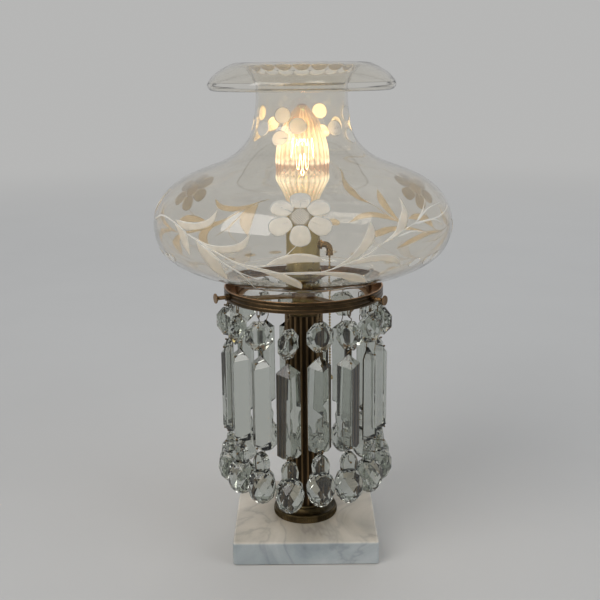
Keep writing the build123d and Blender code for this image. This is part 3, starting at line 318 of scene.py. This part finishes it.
def clear_glass(name, color, ior, waviness, scale):
    """Clear glass whose surface undulates a little."""
    paint = Paint(name, Transmission_Weight=1.0, IOR=ior, Roughness=0.0)
    film = paint.noise(scale, 2.0, 0.5)
    smear = paint.noise(60.0, 4.0, 0.6)
    tint = [0.97 * c for c in color]
    paint.feed(Base_Color=paint.mix(paint.steps(smear, 0.35, 0.65), (*tint, 1.0), (*color, 1.0)))
    paint.feed(Roughness=paint.steps(smear, 0.4, 0.7, 0.0, 0.025))
    paint.bump(film, waviness, 0.002)
    return paint


def lit_bulb():
    """Bulb glass with a thin lustre, glowing along its ribs where the lit filament stands."""
    paint = clear_glass("bulb_glass", (0.93, 0.84, 0.74), 1.5, 0.03, 60.0)
    paint.shader.inputs["Thin Film Thickness"].default_value = BULB_FILM
    bulb_low, bulb_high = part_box("bulb_envelope")
    share = paint.steps(paint.height(), bulb_low.z, bulb_high.z)
    glow = paint.ramp(
        share,
        (0.0, (0.03, 0.02, 0.01)),
        (0.20, (0.26, 0.21, 0.13)),
        (0.32, (0.62, 0.54, 0.38)),
        (0.345, (0.16, 0.085, 0.05)),
        (0.43, (0.22, 0.12, 0.07)),
        (0.455, (0.95, 0.80, 0.55)),
        (0.50, (0.60, 0.42, 0.24)),
        (0.60, (1.0, 0.74, 0.42)),
        (0.72, (0.62, 0.44, 0.25)),
        (0.84, (0.20, 0.13, 0.08)),
        (1.0, (0.06, 0.05, 0.05)),
    )
    place = paint.node("SeparateXYZ", {"Vector": paint.where}).outputs
    turn = paint.maths("ARCTAN2", place["Y"], place["X"])
    rib = paint.maths("COSINE", paint.maths("MULTIPLY", turn, BULB_RIBS))
    streak = paint.noise(500.0, 4.0, 0.7, 0.0, paint.stretched((1.0, 1.0, 0.12)))
    ribbed = paint.steps(rib, -1.0, 1.0, 0.4 * BULB_GLOW, 1.3 * BULB_GLOW)
    light = paint.maths("MULTIPLY", ribbed, paint.steps(streak, 0.3, 0.7, 0.5, 1.5))
    paint.feed(Emission_Color=glow, Emission_Strength=light)
    return paint


def frosted(name, color, through):
    """Ground glass: pale, matt and half see-through, with the fine marks of the wheel."""
    paint = Paint(name, Transmission_Weight=through, IOR=1.45)
    marks = paint.noise(1800.0, 3.0, 0.6)
    cloud = paint.noise(120.0, 3.0)
    dull = [0.9 * c for c in color]
    paint.feed(Base_Color=paint.mix(paint.steps(cloud, 0.3, 0.7), (*dull, 1.0), (*color, 1.0)))
    paint.feed(Roughness=paint.steps(marks, 0.3, 0.7, 0.42, 0.6))
    paint.bump(marks, 0.25, 0.0003)
    return paint.material


# ---------------------------------------------------------------- materials of the CAD nodes

STRANDS = 16


def dress(material, *names):
    """Gives CAD nodes their finished material."""
    for name in names:
        for slot in NODES[name].material_slots:
            slot.link = "OBJECT"
            slot.material = material


antique = cast_brass(
    "foot_brass", (0.035, 0.026, 0.013), (0.090, 0.068, 0.034), (0.20, 0.146, 0.072), 0.36
)
neck_brass = cast_brass(
    "neck_brass", (0.13, 0.095, 0.040), (0.27, 0.21, 0.095), (0.44, 0.35, 0.165), 0.32
)
arm_brass = cast_brass(
    "arm_brass", (0.11, 0.075, 0.038), (0.24, 0.16, 0.082), (0.42, 0.28, 0.15), 0.34
)
screw_brass = cast_brass(
    "screw_brass", (0.12, 0.075, 0.04), (0.30, 0.19, 0.10), (0.55, 0.36, 0.19), 0.28
)
guide_brass = cast_brass(
    "guide_brass", (0.16, 0.10, 0.05), (0.36, 0.24, 0.11), (0.62, 0.42, 0.2), 0.26
)
socket_brass = spun_brass("socket_brass", (0.55, 0.44, 0.20), 0.29)
chain_brass = spun_brass("chain_brass", (0.70, 0.55, 0.30), 0.2)
steel = plain("zinc_steel", (0.42, 0.42, 0.44), (0.60, 0.60, 0.61), 0.35, 1.0)
moulding = plain("black_moulding", (0.025, 0.022, 0.022), (0.06, 0.055, 0.05), 0.5)
liner = plain("card_liner", (0.34, 0.25, 0.15), (0.50, 0.38, 0.24), 0.8)
contacts = plain("contact_metal", (0.55, 0.53, 0.5), (0.78, 0.76, 0.72), 0.25, 1.0)
wire = plain("pin_wire", (0.10, 0.07, 0.04), (0.28, 0.2, 0.11), 0.35, 1.0)
# Painted shade: the crystal is clear glass, and its grey tint darkens it to stand for dark surroundings
# seen through it
crystal = clear_glass("crystal", (0.62, 0.645, 0.60), 1.58, 0.02, 30.0)

dress(marble().material, "marble_base")
dress(felt().material, "felt_pad")
dress(antique.material, "foot_flange", "column_cap")
dress(fluted_brass().material, "column_shaft")
dress(neck_brass.material, "column_neck")
dress(arm_brass.material, "gallery_spider")
dress(reeded_brass().material, "gallery_ring")
dress(screw_brass.material, "thumb_screw_left", "thumb_screw_right", "thumb_screw_rear")
dress(socket_brass.material, "socket_cap", "socket_shell")
dress(guide_brass.material, "chain_guide")
dress(chain_brass.material, "pull_chain")
dress(steel.material, "lamp_pipe")
dress(moulding.material, "switch_body", "cord_bushing")
dress(liner.material, "socket_liner")
dress(contacts.material, "socket_contacts", "bulb_base")
dress(wire.material, "hook_eyes")
for index in range(1, STRANDS + 1):
    dress(crystal.material, f"crystals_{index:02d}")
    dress(wire.material, f"pins_{index:02d}")
glow = Paint("filament_glow", Emission_Strength=FILAMENT_GLOW)
heat = glow.ramp(glow.noise(900.0), (0.3, (1.0, 0.50, 0.18)), (0.7, (1.0, 0.72, 0.38)))
glow.feed(Emission_Color=heat)
dress(glow.material, "bulb_filament")


# ---------------------------------------------------------------- turned glass


def seam_lines(*nodes, thickness=1.0):
    """The seams of turned CAD nodes as (radius, height) points, each with its neighbours.

    A level edge as long as the wall's thickness crosses the wall from side to side and is left out.
    """
    links = {}
    for node in nodes:
        mesh = NODES[node].data
        places = np.zeros(len(mesh.vertices) * 3)
        mesh.vertices.foreach_get("co", places)
        places = places.reshape(-1, 3).round(7)
        seam = (abs(places[:, 1]) < NEAR) & (places[:, 0] > -NEAR)
        for edge in mesh.edges:
            first, last = (places[index] for index in edge.vertices)
            level = abs(first[2] - last[2]) < NEAR
            across = level and abs(first[0] - last[0]) > 0.9 * thickness
            if seam[list(edge.vertices)].all() and (first != last).any() and not across:
                ends = (first[0], first[2]), (last[0], last[2])
                links.setdefault(ends[0], set()).add(ends[1])
                links.setdefault(ends[1], set()).add(ends[0])
    return links


def walk(links, start, toward):
    """Points along the seam from a start towards one neighbour, to the end or round to the start."""
    line = [start, toward]
    while True:
        onward = links[line[-1]] - {line[-2]}
        if not onward or start in onward:
            return np.array(line)
        line.append(onward.pop())


def even_curve(points, count):
    """Evenly spaced points along a C2 cubic spline through the given ones."""
    steps = np.hypot(*np.diff(points, axis=0).T)
    where = np.concatenate(([0.0], np.cumsum(steps)))
    last = len(points) - 1
    system = np.diag(np.full(last + 1, 1.0))
    right = np.zeros((last + 1, 2))
    right[0] = (points[1] - points[0]) / steps[0]
    right[last] = (points[last] - points[last - 1]) / steps[-1]
    for i in range(1, last):
        before, after = 1 / steps[i - 1], 1 / steps[i]
        rise_in, rise_out = points[i] - points[i - 1], points[i + 1] - points[i]
        system[i, i - 1 : i + 2] = (before, 2 * (before + after), after)
        right[i] = 3 * (rise_in * before**2 + rise_out * after**2)
    slopes = np.linalg.solve(system, right)
    at = np.linspace(0, where[-1], count)
    span = np.clip(np.searchsorted(where, at, side="right") - 1, 0, last - 1)
    t = ((at - where[span]) / steps[span])[:, None]
    step = steps[span][:, None]
    ends = points[span] * (1 + 2 * t) * (1 - t) ** 2 + points[span + 1] * t**2 * (3 - 2 * t)
    return ends + step * (slopes[span] * t * (1 - t) ** 2 - slopes[span + 1] * t**2 * (1 - t))


def sides_of(line):
    """Unit normals on the right of a line of points."""
    ways = np.gradient(line, axis=0)
    ways /= np.hypot(ways[:, 0], ways[:, 1])[:, None]
    return np.stack((ways[:, 1], -ways[:, 0]), axis=1)


def show(name, places, faces, material, body):
    """A smooth closed mesh on a body, with doubled points joined."""
    mesh = bpy.data.meshes.new(name)
    mesh.from_pydata([tuple(place) for place in places], [], [tuple(face) for face in faces])
    work = bmesh.new()
    work.from_mesh(mesh)
    bmesh.ops.remove_doubles(work, verts=work.verts, dist=2 * NEAR)
    bmesh.ops.dissolve_degenerate(work, edges=work.edges, dist=NEAR)
    work.to_mesh(mesh)
    work.free()
    mesh.shade_smooth()
    mesh.materials.append(material)
    made = bpy.data.objects.new(name, mesh)
    bpy.context.scene.collection.objects.link(made)
    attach(made, body)
    return made


def turned(line, count, ripple=0.0, ribs=0):
    """Points and faces of a (radius, height) line turned about Z, ribbed where it ripples."""
    angles = np.arange(count) * (math.tau / count)
    radius = line[:, :1] + np.reshape(ripple, (-1, 1)) * np.cos(ribs * angles)
    height = np.repeat(line[:, 1:], count, axis=1)
    places = np.stack((radius * np.cos(angles), radius * np.sin(angles), height), axis=2)
    rows = np.arange(len(line) * count).reshape(len(line), count)
    beside = np.roll(rows, -1, axis=1)
    faces = np.stack((rows[:-1], beside[:-1], beside[1:], rows[1:]), axis=2)
    return places.reshape(-1, 3), faces.reshape(-1, 4)


SHADE_NODES = ("shade_fitter", "shade_bowl", "shade_shoulder", "shade_neck")
SHADE_WALL = 3.2 * MM
# The glass stands this far inside the CAD surface, and the cut work fills the difference
GLASS_INSET = 0.4 * MM
SHADE_SECTORS = 256
SHADE_STATIONS = 380


def shade_sides():
    """The shade's line from the foot of its outer side up, over the lip and down the inner side."""
    links = seam_lines(*SHADE_NODES, thickness=SHADE_WALL)
    foot = min(height for radius, height in links)
    outer = max(point for point in links if point[1] < foot + NEAR)
    return even_curve(walk(links, outer, next(iter(links[outer]))), SHADE_STATIONS)


shade_line = shade_sides()
shade_normals = sides_of(shade_line)
shade_steps = np.concatenate(([0.0], np.cumsum(np.hypot(*np.diff(shade_line, axis=0).T))))
WIDEST = int(np.argmax(shade_line[:, 0]))
CREST = int(np.argmax(shade_line[:, 1]))


def glass_wall(material):
    """The whole shade as one smooth wall of glass."""
    inset = shade_line - shade_normals * GLASS_INSET
    closed = np.concatenate((inset, inset[:1]))
    places, faces = turned(closed, SHADE_SECTORS)
    made = show("shade_wall", places, faces, material, "shade")
    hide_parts(*SHADE_NODES)


def on_shade(azimuth, along, rise, start):
    """Points of the shade at azimuths in degrees, distances along its wall and rises in mm."""
    at = shade_steps[start] + np.asarray(along) * MM
    radius = np.interp(at, shade_steps, shade_line[:, 0])
    height = np.interp(at, shade_steps, shade_line[:, 1])
    out_r = np.interp(at, shade_steps, shade_normals[:, 0])
    out_z = np.interp(at, shade_steps, shade_normals[:, 1])
    rise = np.asarray(rise) * MM - GLASS_INSET
    turn = np.radians(azimuth)
    radius = radius + out_r * rise
    return np.stack((radius * np.sin(turn), -radius * np.cos(turn), height + out_z * rise), axis=-1)


def degree_length(along, start):
    """How many mm one degree of azimuth measures on the shade, at a distance along its wall."""
    at = shade_steps[start] + np.asarray(along) * MM
    return math.radians(1.0) * (np.interp(at, shade_steps, shade_line[:, 0]) / MM)


# ---------------------------------------------------------------- cut work on the shade


class CutWork:
    """Closed thin patches that follow the shade, gathered into one mesh.

    Places are (degrees of azimuth, mm along the glass from a start); rises are mm over the glass.
    """

    BED = 0.03
    LEAF_MIDDLE, LEAF_EDGE = 0.16, 0.28
    LINE_EDGE, LINE_CREST = 0.06, 0.36
    PRINT_HOLLOW, PRINT_RIM = 0.10, 0.30
    PETAL_EDGE, PETAL_MIDDLE = 0.2, 0.3
    SUNKEN = 0.1
    DIAMOND_TOP, DIAMOND_EDGE = 0.34, 0.24

    LEAF_STATIONS, LEAF_COLUMNS = 40, 6
    LINE_STATIONS = 48
    LINE_COLUMNS = np.array([-1.0, -0.75, -0.4, 0.0, 0.4, 0.75, 1.0])
    PRINT_SIDES = 36
    MIDDLE_SIDES = 72
    PETAL_STATIONS = 20

    def __init__(self):
        self.places = []
        self.faces = []
        self.count = 0

    def add(self, azimuth, along, rise, start):
        """A patch from grids of azimuth, distance and rise."""
        rows, columns = azimuth.shape
        top = on_shade(azimuth, along, rise, start).reshape(-1, 3)
        bed = on_shade(azimuth, along, np.full(azimuth.shape, self.BED), start).reshape(-1, 3)
        index = np.arange(rows * columns).reshape(rows, columns) + self.count
        under = index + rows * columns
        quads = [
            self.quads(index[:-1, :-1], index[:-1, 1:], index[1:, 1:], index[1:, :-1]),
            self.quads(under[:-1, :-1], under[1:, :-1], under[1:, 1:], under[:-1, 1:]),
        ]
        rim = np.concatenate((index[0, :-1], index[:-1, -1], index[-1, :0:-1], index[::-1, 0]))
        ahead = np.concatenate((rim[1:], rim[:1]))
        down = rows * columns
        quads.append(self.quads(rim, rim + down, ahead + down, ahead))
        self.places += [top, bed]
        self.faces += quads
        self.count += 2 * rows * columns

    @staticmethod
    def quads(*corners):
        return np.stack([corner.ravel() for corner in corners], axis=1)

    def blade(self, line, edge, start, turn=0.0):
        """Leaf between a deep-cut line and its other edge, hollowed a little between them."""
        far = (line[0], *edge, line[-1])
        one = even_curve(np.array(line, float), self.LEAF_STATIONS)
        two = even_curve(np.array(far, float), self.LEAF_STATIONS)
        share = np.linspace(0, 1, self.LEAF_COLUMNS)[None, :, None]
        grid = one[:, None, :] * (1 - share) + two[:, None, :] * share
        depth = self.LEAF_EDGE - self.LEAF_MIDDLE
        hollow = self.LEAF_MIDDLE + depth * (2 * share[..., 0] - 1) ** 2
        rise = np.repeat(hollow, self.LEAF_STATIONS, axis=0)
        self.add(grid[..., 0] + turn, grid[..., 1], rise, start)

    def stroke(self, line, width, start, turn=0.0):
        """Deep-cut line, round in section, that thins to a point at its far end."""
        path = even_curve(np.array(line, float), self.LINE_STATIONS)
        degree = degree_length(path[:, 1], start)
        ways = np.gradient(np.stack((path[:, 0] * degree, path[:, 1]), axis=1), axis=0)
        ways /= np.hypot(ways[:, 0], ways[:, 1])[:, None]
        share = np.linspace(0, 1, self.LINE_STATIONS)
        half = 0.5 * width * np.minimum(1, 6 * share + 0.25) * np.clip(1.25 - share, 0.12, 1)
        across = self.LINE_COLUMNS
        azimuth = path[:, :1] + across * (-ways[:, 1:] * (half / degree)[:, None])
        along = path[:, 1:] + across * (ways[:, :1] * half[:, None])
        swell = np.sqrt(1 - 0.98 * across**2)
        rise = self.LINE_EDGE + (self.LINE_CREST - self.LINE_EDGE) * swell
        self.add(azimuth + turn, along, np.repeat(rise[None], self.LINE_STATIONS, axis=0), start)

    def disc(self, centre, outline, rise, start, turn=0.0, rings=7):
        """Patch with an outline of (x, y) mm about a centre.

        Its rise is (at the middle, at the outline, power of the share out that leads there).
        """
        share = np.linspace(0, 1, rings)[:, None]
        shape = np.concatenate((outline, outline[:1]))
        azimuth = centre[0] + turn + share * shape[:, 0] / degree_length(centre[1], start)
        along = centre[1] + share * shape[:, 1]
        middle, edge, power = rise
        self.add(azimuth, along, (middle + (edge - middle) * share**power) * np.ones(len(shape)), start)

    def oval(self, centre, size, start, turn=0.0, tilt=0.0):
        """Thumbprint: a shallow hollow inside a thin raised rim."""
        angles = np.arange(self.PRINT_SIDES) * (math.tau / self.PRINT_SIDES)
        x, y = 0.5 * size[0] * np.cos(angles), 0.5 * size[1] * np.sin(angles)
        lean = math.radians(tilt)
        level = x * math.cos(lean) - y * math.sin(lean)
        upright = x * math.sin(lean) + y * math.cos(lean)
        outline = np.stack((level, upright), axis=1)
        self.disc(centre, outline, (self.PRINT_HOLLOW, self.PRINT_RIM, 4), start, turn)

    def flower(self, centre, start, turn=0.0):
        """Six full petals round a cross-hatched middle."""
        half = even_curve(np.array(PETAL, float), self.PETAL_STATIONS)
        outline = np.concatenate((half, (half * (-1, 1))[-2:0:-1]))
        for index in range(PETALS):
            way = math.tau * index / PETALS
            side, out = (math.cos(way), -math.sin(way)), (math.sin(way), math.cos(way))
            petal = outline @ np.array((side, out)) * (1.0, FLOWER_SQUASH)
            middle = np.array(out) * PETAL_REACH * (1.0, FLOWER_SQUASH)
            degree = degree_length(centre[1], start)
            place = (centre[0] + middle[0] / degree, centre[1] + middle[1])
            self.disc(place, petal, (self.PETAL_MIDDLE, self.PETAL_EDGE, 2), start, turn)

    def middle(self, centre, start, turn=0.0):
        """Sunken flat middle of the flower, with a side to each petal."""
        angles = np.arange(self.MIDDLE_SIDES) * (math.tau / self.MIDDLE_SIDES)
        half = math.pi / PETALS
        out = FLOWER_MIDDLE / np.cos((angles + half) % (2 * half) - half)
        outline = np.stack((out * np.sin(angles), FLOWER_SQUASH * out * np.cos(angles)), axis=1)
        self.disc(centre, outline, (self.SUNKEN, self.SUNKEN, 1), start, turn)

    def hatching(self, centre, start, turn=0.0):
        """Small diamonds left standing between the crossing cuts of the flower's middle."""
        half = 0.4 * HATCH_PITCH
        diamond = half * np.array(((0.0, 1.0), (1.0, 0.0), (0.0, -1.0), (-1.0, 0.0)))
        degree = degree_length(centre[1], start)
        steps = int(FLOWER_MIDDLE / HATCH_PITCH * 2) + 1
        for row in range(-steps, steps + 1):
            for column in range(-steps, steps + 1):
                x, y = column * HATCH_PITCH / 2, row * HATCH_PITCH / 2
                inside = math.hypot(x, y / FLOWER_SQUASH) < FLOWER_MIDDLE - half
                if inside and (row + column) % 2 == 0:
                    place = (centre[0] + x / degree, centre[1] + y)
                    rise = (self.DIAMOND_TOP, self.DIAMOND_EDGE, 1)
                    self.disc(place, diamond, rise, start, turn, rings=3)

    def finish(self, name, material):
        """Turns the gathered patches into one piece of the shade."""
        places, faces = np.concatenate(self.places), np.concatenate(self.faces)
        show(name, places, faces, material, "shade")


# Half of a petal, from its foot on the middle of the flower to its top, in mm about its centre
PETAL = ((0, -10.5), (5, -9.5), (9, -2), (9.5, 4), (6, 9.5), (0, 11.5))
PETALS = 6
PETAL_REACH = 19.5
FLOWER_SQUASH = 0.9
FLOWER_MIDDLE = 9.0
FLOWER_PLACE = (-1, 30)
HATCH_PITCH = 2.3

# Leaves as (deep-cut line, other edge), then stems and twigs: degrees of azimuth from the
# flower's side and mm along the glass from its widest circle. Those named FRONT are cut
# at the front only
LEAVES = (
    (((-40, 4), (-34, 0), (-28, 0), (-22, 4), (-18, 13)), ((-34, -2), (-28, -6), (-22, -3), (-19, 4))),
    (((-40, 2), (-34, -6), (-30, -20), (-31, -43)), ((-38, -11), (-35, -27))),
    (((-22, -16), (-11, -22), (-5, -29), (-1, -42), (-1, -59)), ((-16, -22), (-11, -29), (-6, -42))),
    (((-13, -16), (-8, -8), (-1, -4), (5, -7), (7, -12)), ((-7, -14), (-1, -12), (4, -12))),
    (((28, 2), (33, 10), (36, 21), (39, 30), (41, 44)), ((32, 5), (36, 10), (40, 20), (41, 32))),
    (((9, -21), (14, -13), (18, -3), (21, 9), (24, 23)), ((17, -11), (22, -2), (25, 12))),
    (((13, -17), (19, -12), (26, -9), (32, -11), (38, -24)), ((19, -16), (26, -15), (32, -18))),
    (((-10, -24), (1, -23), (11, -24), (19, -28), (27, -48)), ((5, -26), (12, -30), (20, -43))),
)
FRONT_LEAVES = (
    (((-53, 18), (-42, 18), (-36, 23), (-33, 33)), ((-48, 12), (-39, 13), (-34, 18))),
    (((-54, 16), (-47, 10), (-44, -1), (-44, -13)), ((-50, 8), (-47, -4))),
)
STEMS = (
    ((-45, 8), (-40, 4), (-34, -5), (-29, -16), (-24, -26), (-23, -65)),
    ((-40, 4), (-32, -5), (-26, -12), (-19, -17), (-13, -16), (-8, -10), (-4, -1), (-1, 7)),
    ((-28, -17), (-22, -28), (-13, -37)),
    ((-26, -13), (-19, -20), (-10, -24), (6, -23), (12, -18), (19, -11), (28, 2), (34, 8)),
)
FRONT_STEMS = (
    ((-75, 11), (-66, 18), (-53, 15), (-45, 8), (-38, 1)),
    ((28, 2), (39, 13), (44, 17)),
    ((44, 17), (49, 25), (55, 36)),
    ((44, 17), (54, 27), (66, 29)),
    ((42, 15), (54, 16), (62, 8)),
    ((34, 6), (41, 9), (49, 5)),
    ((42, 16), (61, 17), (75, 22)),
)
LEAF_LINE_WIDTH = 1.5
STEM_WIDTH = 1.7
SPRAY_TURNS = (0, 120, 240)
BERRIES = ((45, -24), (54, -25), (60, -24))
BERRY_SIZE = (15, 9)
BERRY_TILT = 20
# Thumbprints of one cluster on the neck: degrees from its middle, mm along the glass
NECK_CLUSTER = ((3, 164), (-23, 151), (2, 142), (22, 154))
NECK_PRINT_SIZE = (17.5, 15.5)
NECK_TURNS = (-27, 63, 153, 243)
# Rings of prints as (how many, mm along the glass, size in mm, where the mm start)
PRINT_RINGS = (
    (20, 9, (17, 13), CREST),
    (40, 32, (10, 5), CREST),
    (18, -86, (15, 9), WIDEST),
)


def cut_work(frost, bright, shaded_middle):
    """Sprays with their flowers, prints on neck, lip and foot, and the deep-cut lines."""
    blades, lines, middles = CutWork(), CutWork(), CutWork()
    for turn in SPRAY_TURNS:
        front = turn == 0
        for line, edge in LEAVES + (FRONT_LEAVES if front else ()):
            blades.blade(line, edge, WIDEST, turn)
            lines.stroke(line, LEAF_LINE_WIDTH, WIDEST, turn)
        for line in STEMS + (FRONT_STEMS if front else ()):
            lines.stroke(line, STEM_WIDTH, WIDEST, turn)
        blades.flower(FLOWER_PLACE, WIDEST, turn)
        lines.hatching(FLOWER_PLACE, WIDEST, turn)
        middles.middle(FLOWER_PLACE, WIDEST, turn)
        for place in BERRIES:
            blades.oval(place, BERRY_SIZE, WIDEST, turn, BERRY_TILT)
    for turn in NECK_TURNS:
        for place in NECK_CLUSTER:
            blades.oval(place, NECK_PRINT_SIZE, WIDEST, turn)
    for count, along, size, start in PRINT_RINGS:
        for index in range(count):
            blades.oval((index * 360 / count, along), size, start)
    blades.finish("shade_frosting", frost)
    lines.finish("shade_deep_cuts", bright)
    middles.finish("shade_flower_middles", shaded_middle)


# ---------------------------------------------------------------- bulb

BULB_STATIONS = 150
RIB_SECTORS = 8
RIB_HEIGHT = 0.42 * MM
# The ribs die out over this height beside the plain band
RIB_FADE = 5 * MM
# The ribs begin at this radius and are full after this much more
RIB_START, RIB_GROWTH = 4 * MM, 8 * MM
# The glass stands this far inside the CAD surface, so that the ribs stay within it
BULB_INSET = 0.45 * MM


def ribbed_bulb(material):
    """Blown bulb with upright ribs on its dome and bowl and a plain band between them."""
    links = seam_lines("bulb_envelope")
    ends = sorted((point for point in links if len(links[point]) == 1), key=lambda point: point[1])
    neck, stem, inner_tip, tip = ends
    outer = walk(links, neck, next(iter(links[neck])))
    inner = walk(links, inner_tip, next(iter(links[inner_tip])))
    outer = np.concatenate(([(0.0, neck[1])], even_curve(outer, BULB_STATIONS)))
    inner = np.concatenate((inner, [(0.0, stem[1])]))
    side = outer[:, 0].max()
    band = outer[abs(outer[:, 0] - side) < 2 * NEAR][:, 1]
    edge = np.minimum(abs(outer[:, 1] - band.min()), abs(outer[:, 1] - band.max()))
    plain_band = (outer[:, 1] > band.min()) & (outer[:, 1] < band.max())
    fade = np.clip(edge / RIB_FADE, 0, 1)
    ripple = RIB_HEIGHT * fade * np.clip((outer[:, 0] - RIB_START) / RIB_GROWTH, 0, 1)
    ripple[plain_band] = 0.0
    outer = outer - [(BULB_INSET, 0.0)] * (outer[:, :1] > 1 * MM)
    shell, shell_faces = turned(outer, BULB_RIBS * RIB_SECTORS, ripple, BULB_RIBS)
    room, room_faces = turned(inner, BULB_RIBS * RIB_SECTORS // 2)
    places = np.concatenate((shell, room))
    faces = np.concatenate((shell_faces, room_faces + len(shell)))
    made = show("bulb_ribbed", places, faces, material, "bulb")
    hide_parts("bulb_envelope")
    return made


# ---------------------------------------------------------------- floor, world and lights

FLOOR_COLOR = (0.56, 0.56, 0.555)
FLOOR_RADIUS = 12
FLOOR_SIDES = 48
FLOOR_DROP = 0.2 * MM
# Radii, in metres, between which the floor takes on the backdrop's colour
FLOOR_FADE = (0.9, 4.5)
BACKDROP = (0.47, 0.47, 0.465)
AMBIENT = (0.93, 0.96, 1.0)
AMBIENT_STRENGTH = 0.42
BULB_WATTS = 0.55
BULB_COLOR = (1.0, 0.74, 0.42)


def floor():
    """A wide floor whose far part takes on the backdrop's colour, so that no horizon shows."""
    mesh = bpy.data.meshes.new("floor")
    turns = [index * math.tau / FLOOR_SIDES for index in range(FLOOR_SIDES)]
    rim = [(FLOOR_RADIUS * math.cos(turn), FLOOR_RADIUS * math.sin(turn), -FLOOR_DROP) for turn in turns]
    mesh.from_pydata(rim, [], [list(range(FLOOR_SIDES))])
    made = bpy.data.objects.new("floor", mesh)
    bpy.context.scene.collection.objects.link(made)
    paint = Paint("floor", Roughness=0.9)
    dull = [0.97 * c for c in FLOOR_COLOR]
    paint.feed(Base_Color=paint.ramp(paint.noise(3.0), (0.3, dull), (0.7, FLOOR_COLOR)))
    far = paint.node("Emission", {"Color": (*BACKDROP, 1.0), "Strength": 1.0})
    share = paint.steps(paint.radius(), *FLOOR_FADE)
    share.node.interpolation_type = "SMOOTHERSTEP"
    both = paint.node("MixShader", {0: share, 1: paint.shader.outputs[0], 2: far.outputs[0]})
    paint.tree.links.new(both.outputs[0], paint.tree.nodes["Material Output"].inputs["Surface"])
    mesh.materials.append(paint.material)


def bulb_light(bulb):
    """Warm light from the middle of the bulb that goes wherever the bulb goes."""
    bulb_low, bulb_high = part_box("bulb_envelope")
    data = bpy.data.lights.new("bulb_light", "POINT")
    data.energy = BULB_WATTS
    data.color = BULB_COLOR
    data.shadow_soft_size = 10 * MM
    data.use_shadow = False
    made = bpy.data.objects.new("bulb_light", data)
    bpy.context.scene.collection.objects.link(made)
    made.parent = bulb
    made.location = (0.0, 0.0, bulb_low.z + 0.6 * (bulb_high.z - bulb_low.z))
    made.visible_glossy = False
    made.visible_transmission = False
    made.visible_camera = False


def world():
    """Even light on the lamp, and the backdrop's colour for the camera, the brass and the glass."""
    made = bpy.data.worlds.new("world")
    bpy.context.scene.world = made
    made.use_nodes = True
    tree = made.node_tree
    tree.nodes.clear()
    path = tree.nodes.new("ShaderNodeLightPath")
    seen = tree.nodes.new("ShaderNodeMath")
    seen.operation = "MAXIMUM"
    tree.links.new(path.outputs["Is Camera Ray"], seen.inputs[0])
    other = tree.nodes.new("ShaderNodeMath")
    other.operation = "MAXIMUM"
    tree.links.new(path.outputs["Is Glossy Ray"], other.inputs[0])
    tree.links.new(path.outputs["Is Transmission Ray"], other.inputs[1])
    tree.links.new(other.outputs[0], seen.inputs[1])
    ambient = tree.nodes.new("ShaderNodeBackground")
    ambient.inputs["Color"].default_value = (*AMBIENT, 1.0)
    ambient.inputs["Strength"].default_value = AMBIENT_STRENGTH
    backdrop = tree.nodes.new("ShaderNodeBackground")
    backdrop.inputs["Color"].default_value = (*BACKDROP, 1.0)
    backdrop.inputs["Strength"].default_value = 1.0
    mixed = tree.nodes.new("ShaderNodeMixShader")
    tree.links.new(seen.outputs[0], mixed.inputs[0])
    tree.links.new(ambient.outputs[0], mixed.inputs[1])
    tree.links.new(backdrop.outputs[0], mixed.inputs[2])
    output = tree.nodes.new("ShaderNodeOutputWorld")
    tree.links.new(mixed.outputs[0], output.inputs[0])


def softbox(name, place, aim, size, watts, color=(1.0, 1.0, 1.0), mirrored=True):
    """A rectangular light; one that isn't mirrored lights the lamp but shows in no glass or brass."""
    data = bpy.data.lights.new(name, "AREA")
    data.shape = "RECTANGLE"
    data.size, data.size_y = size
    data.energy = watts
    data.color = color
    made = bpy.data.objects.new(name, data)
    bpy.context.scene.collection.objects.link(made)
    made.location = place
    made.rotation_euler = (Vector(aim) - Vector(place)).to_track_quat("-Z", "Y").to_euler()
    made.visible_glossy = mirrored
    made.visible_transmission = mirrored


# The shade's glass is clear; its warm tint is painted light from the lit bulb
glass_wall(clear_glass("shade_glass", (0.965, 0.945, 0.90), 1.5, 0.05, 22.0).material)
cut_work(
    # The cuts are pale ground glass; their cream tint is painted light, the warm light of the lit bulb
    frosted("cut_frost", (0.97, 0.93, 0.84), 0.55),
    frosted("deep_cut", (0.97, 0.94, 0.86), 0.35),
    # Painted shade: the sunken flower middles are painted darker, for the shade among the hatched
    # diamonds
    frosted("sunken_cut", (0.58, 0.52, 0.41), 0.5),
)
bulb_light(ribbed_bulb(lit_bulb().material))
floor()
world()
softbox("key", (-2.2, -2.2, 2.8), (0, 0, 0.2), (2.8, 2.8), 70.0, (1.0, 0.97, 0.93))
softbox("fill", (2.6, -1.5, 1.5), (0, 0, 0.25), (2.2, 2.2), 24.0, (0.93, 0.97, 1.0), mirrored=False)
softbox("back", (0.4, 2.8, 2.4), (0, 0, 0.3), (2.6, 1.6), 22.0, mirrored=False)
bpy.context.scene.view_settings.view_transform = "Standard"
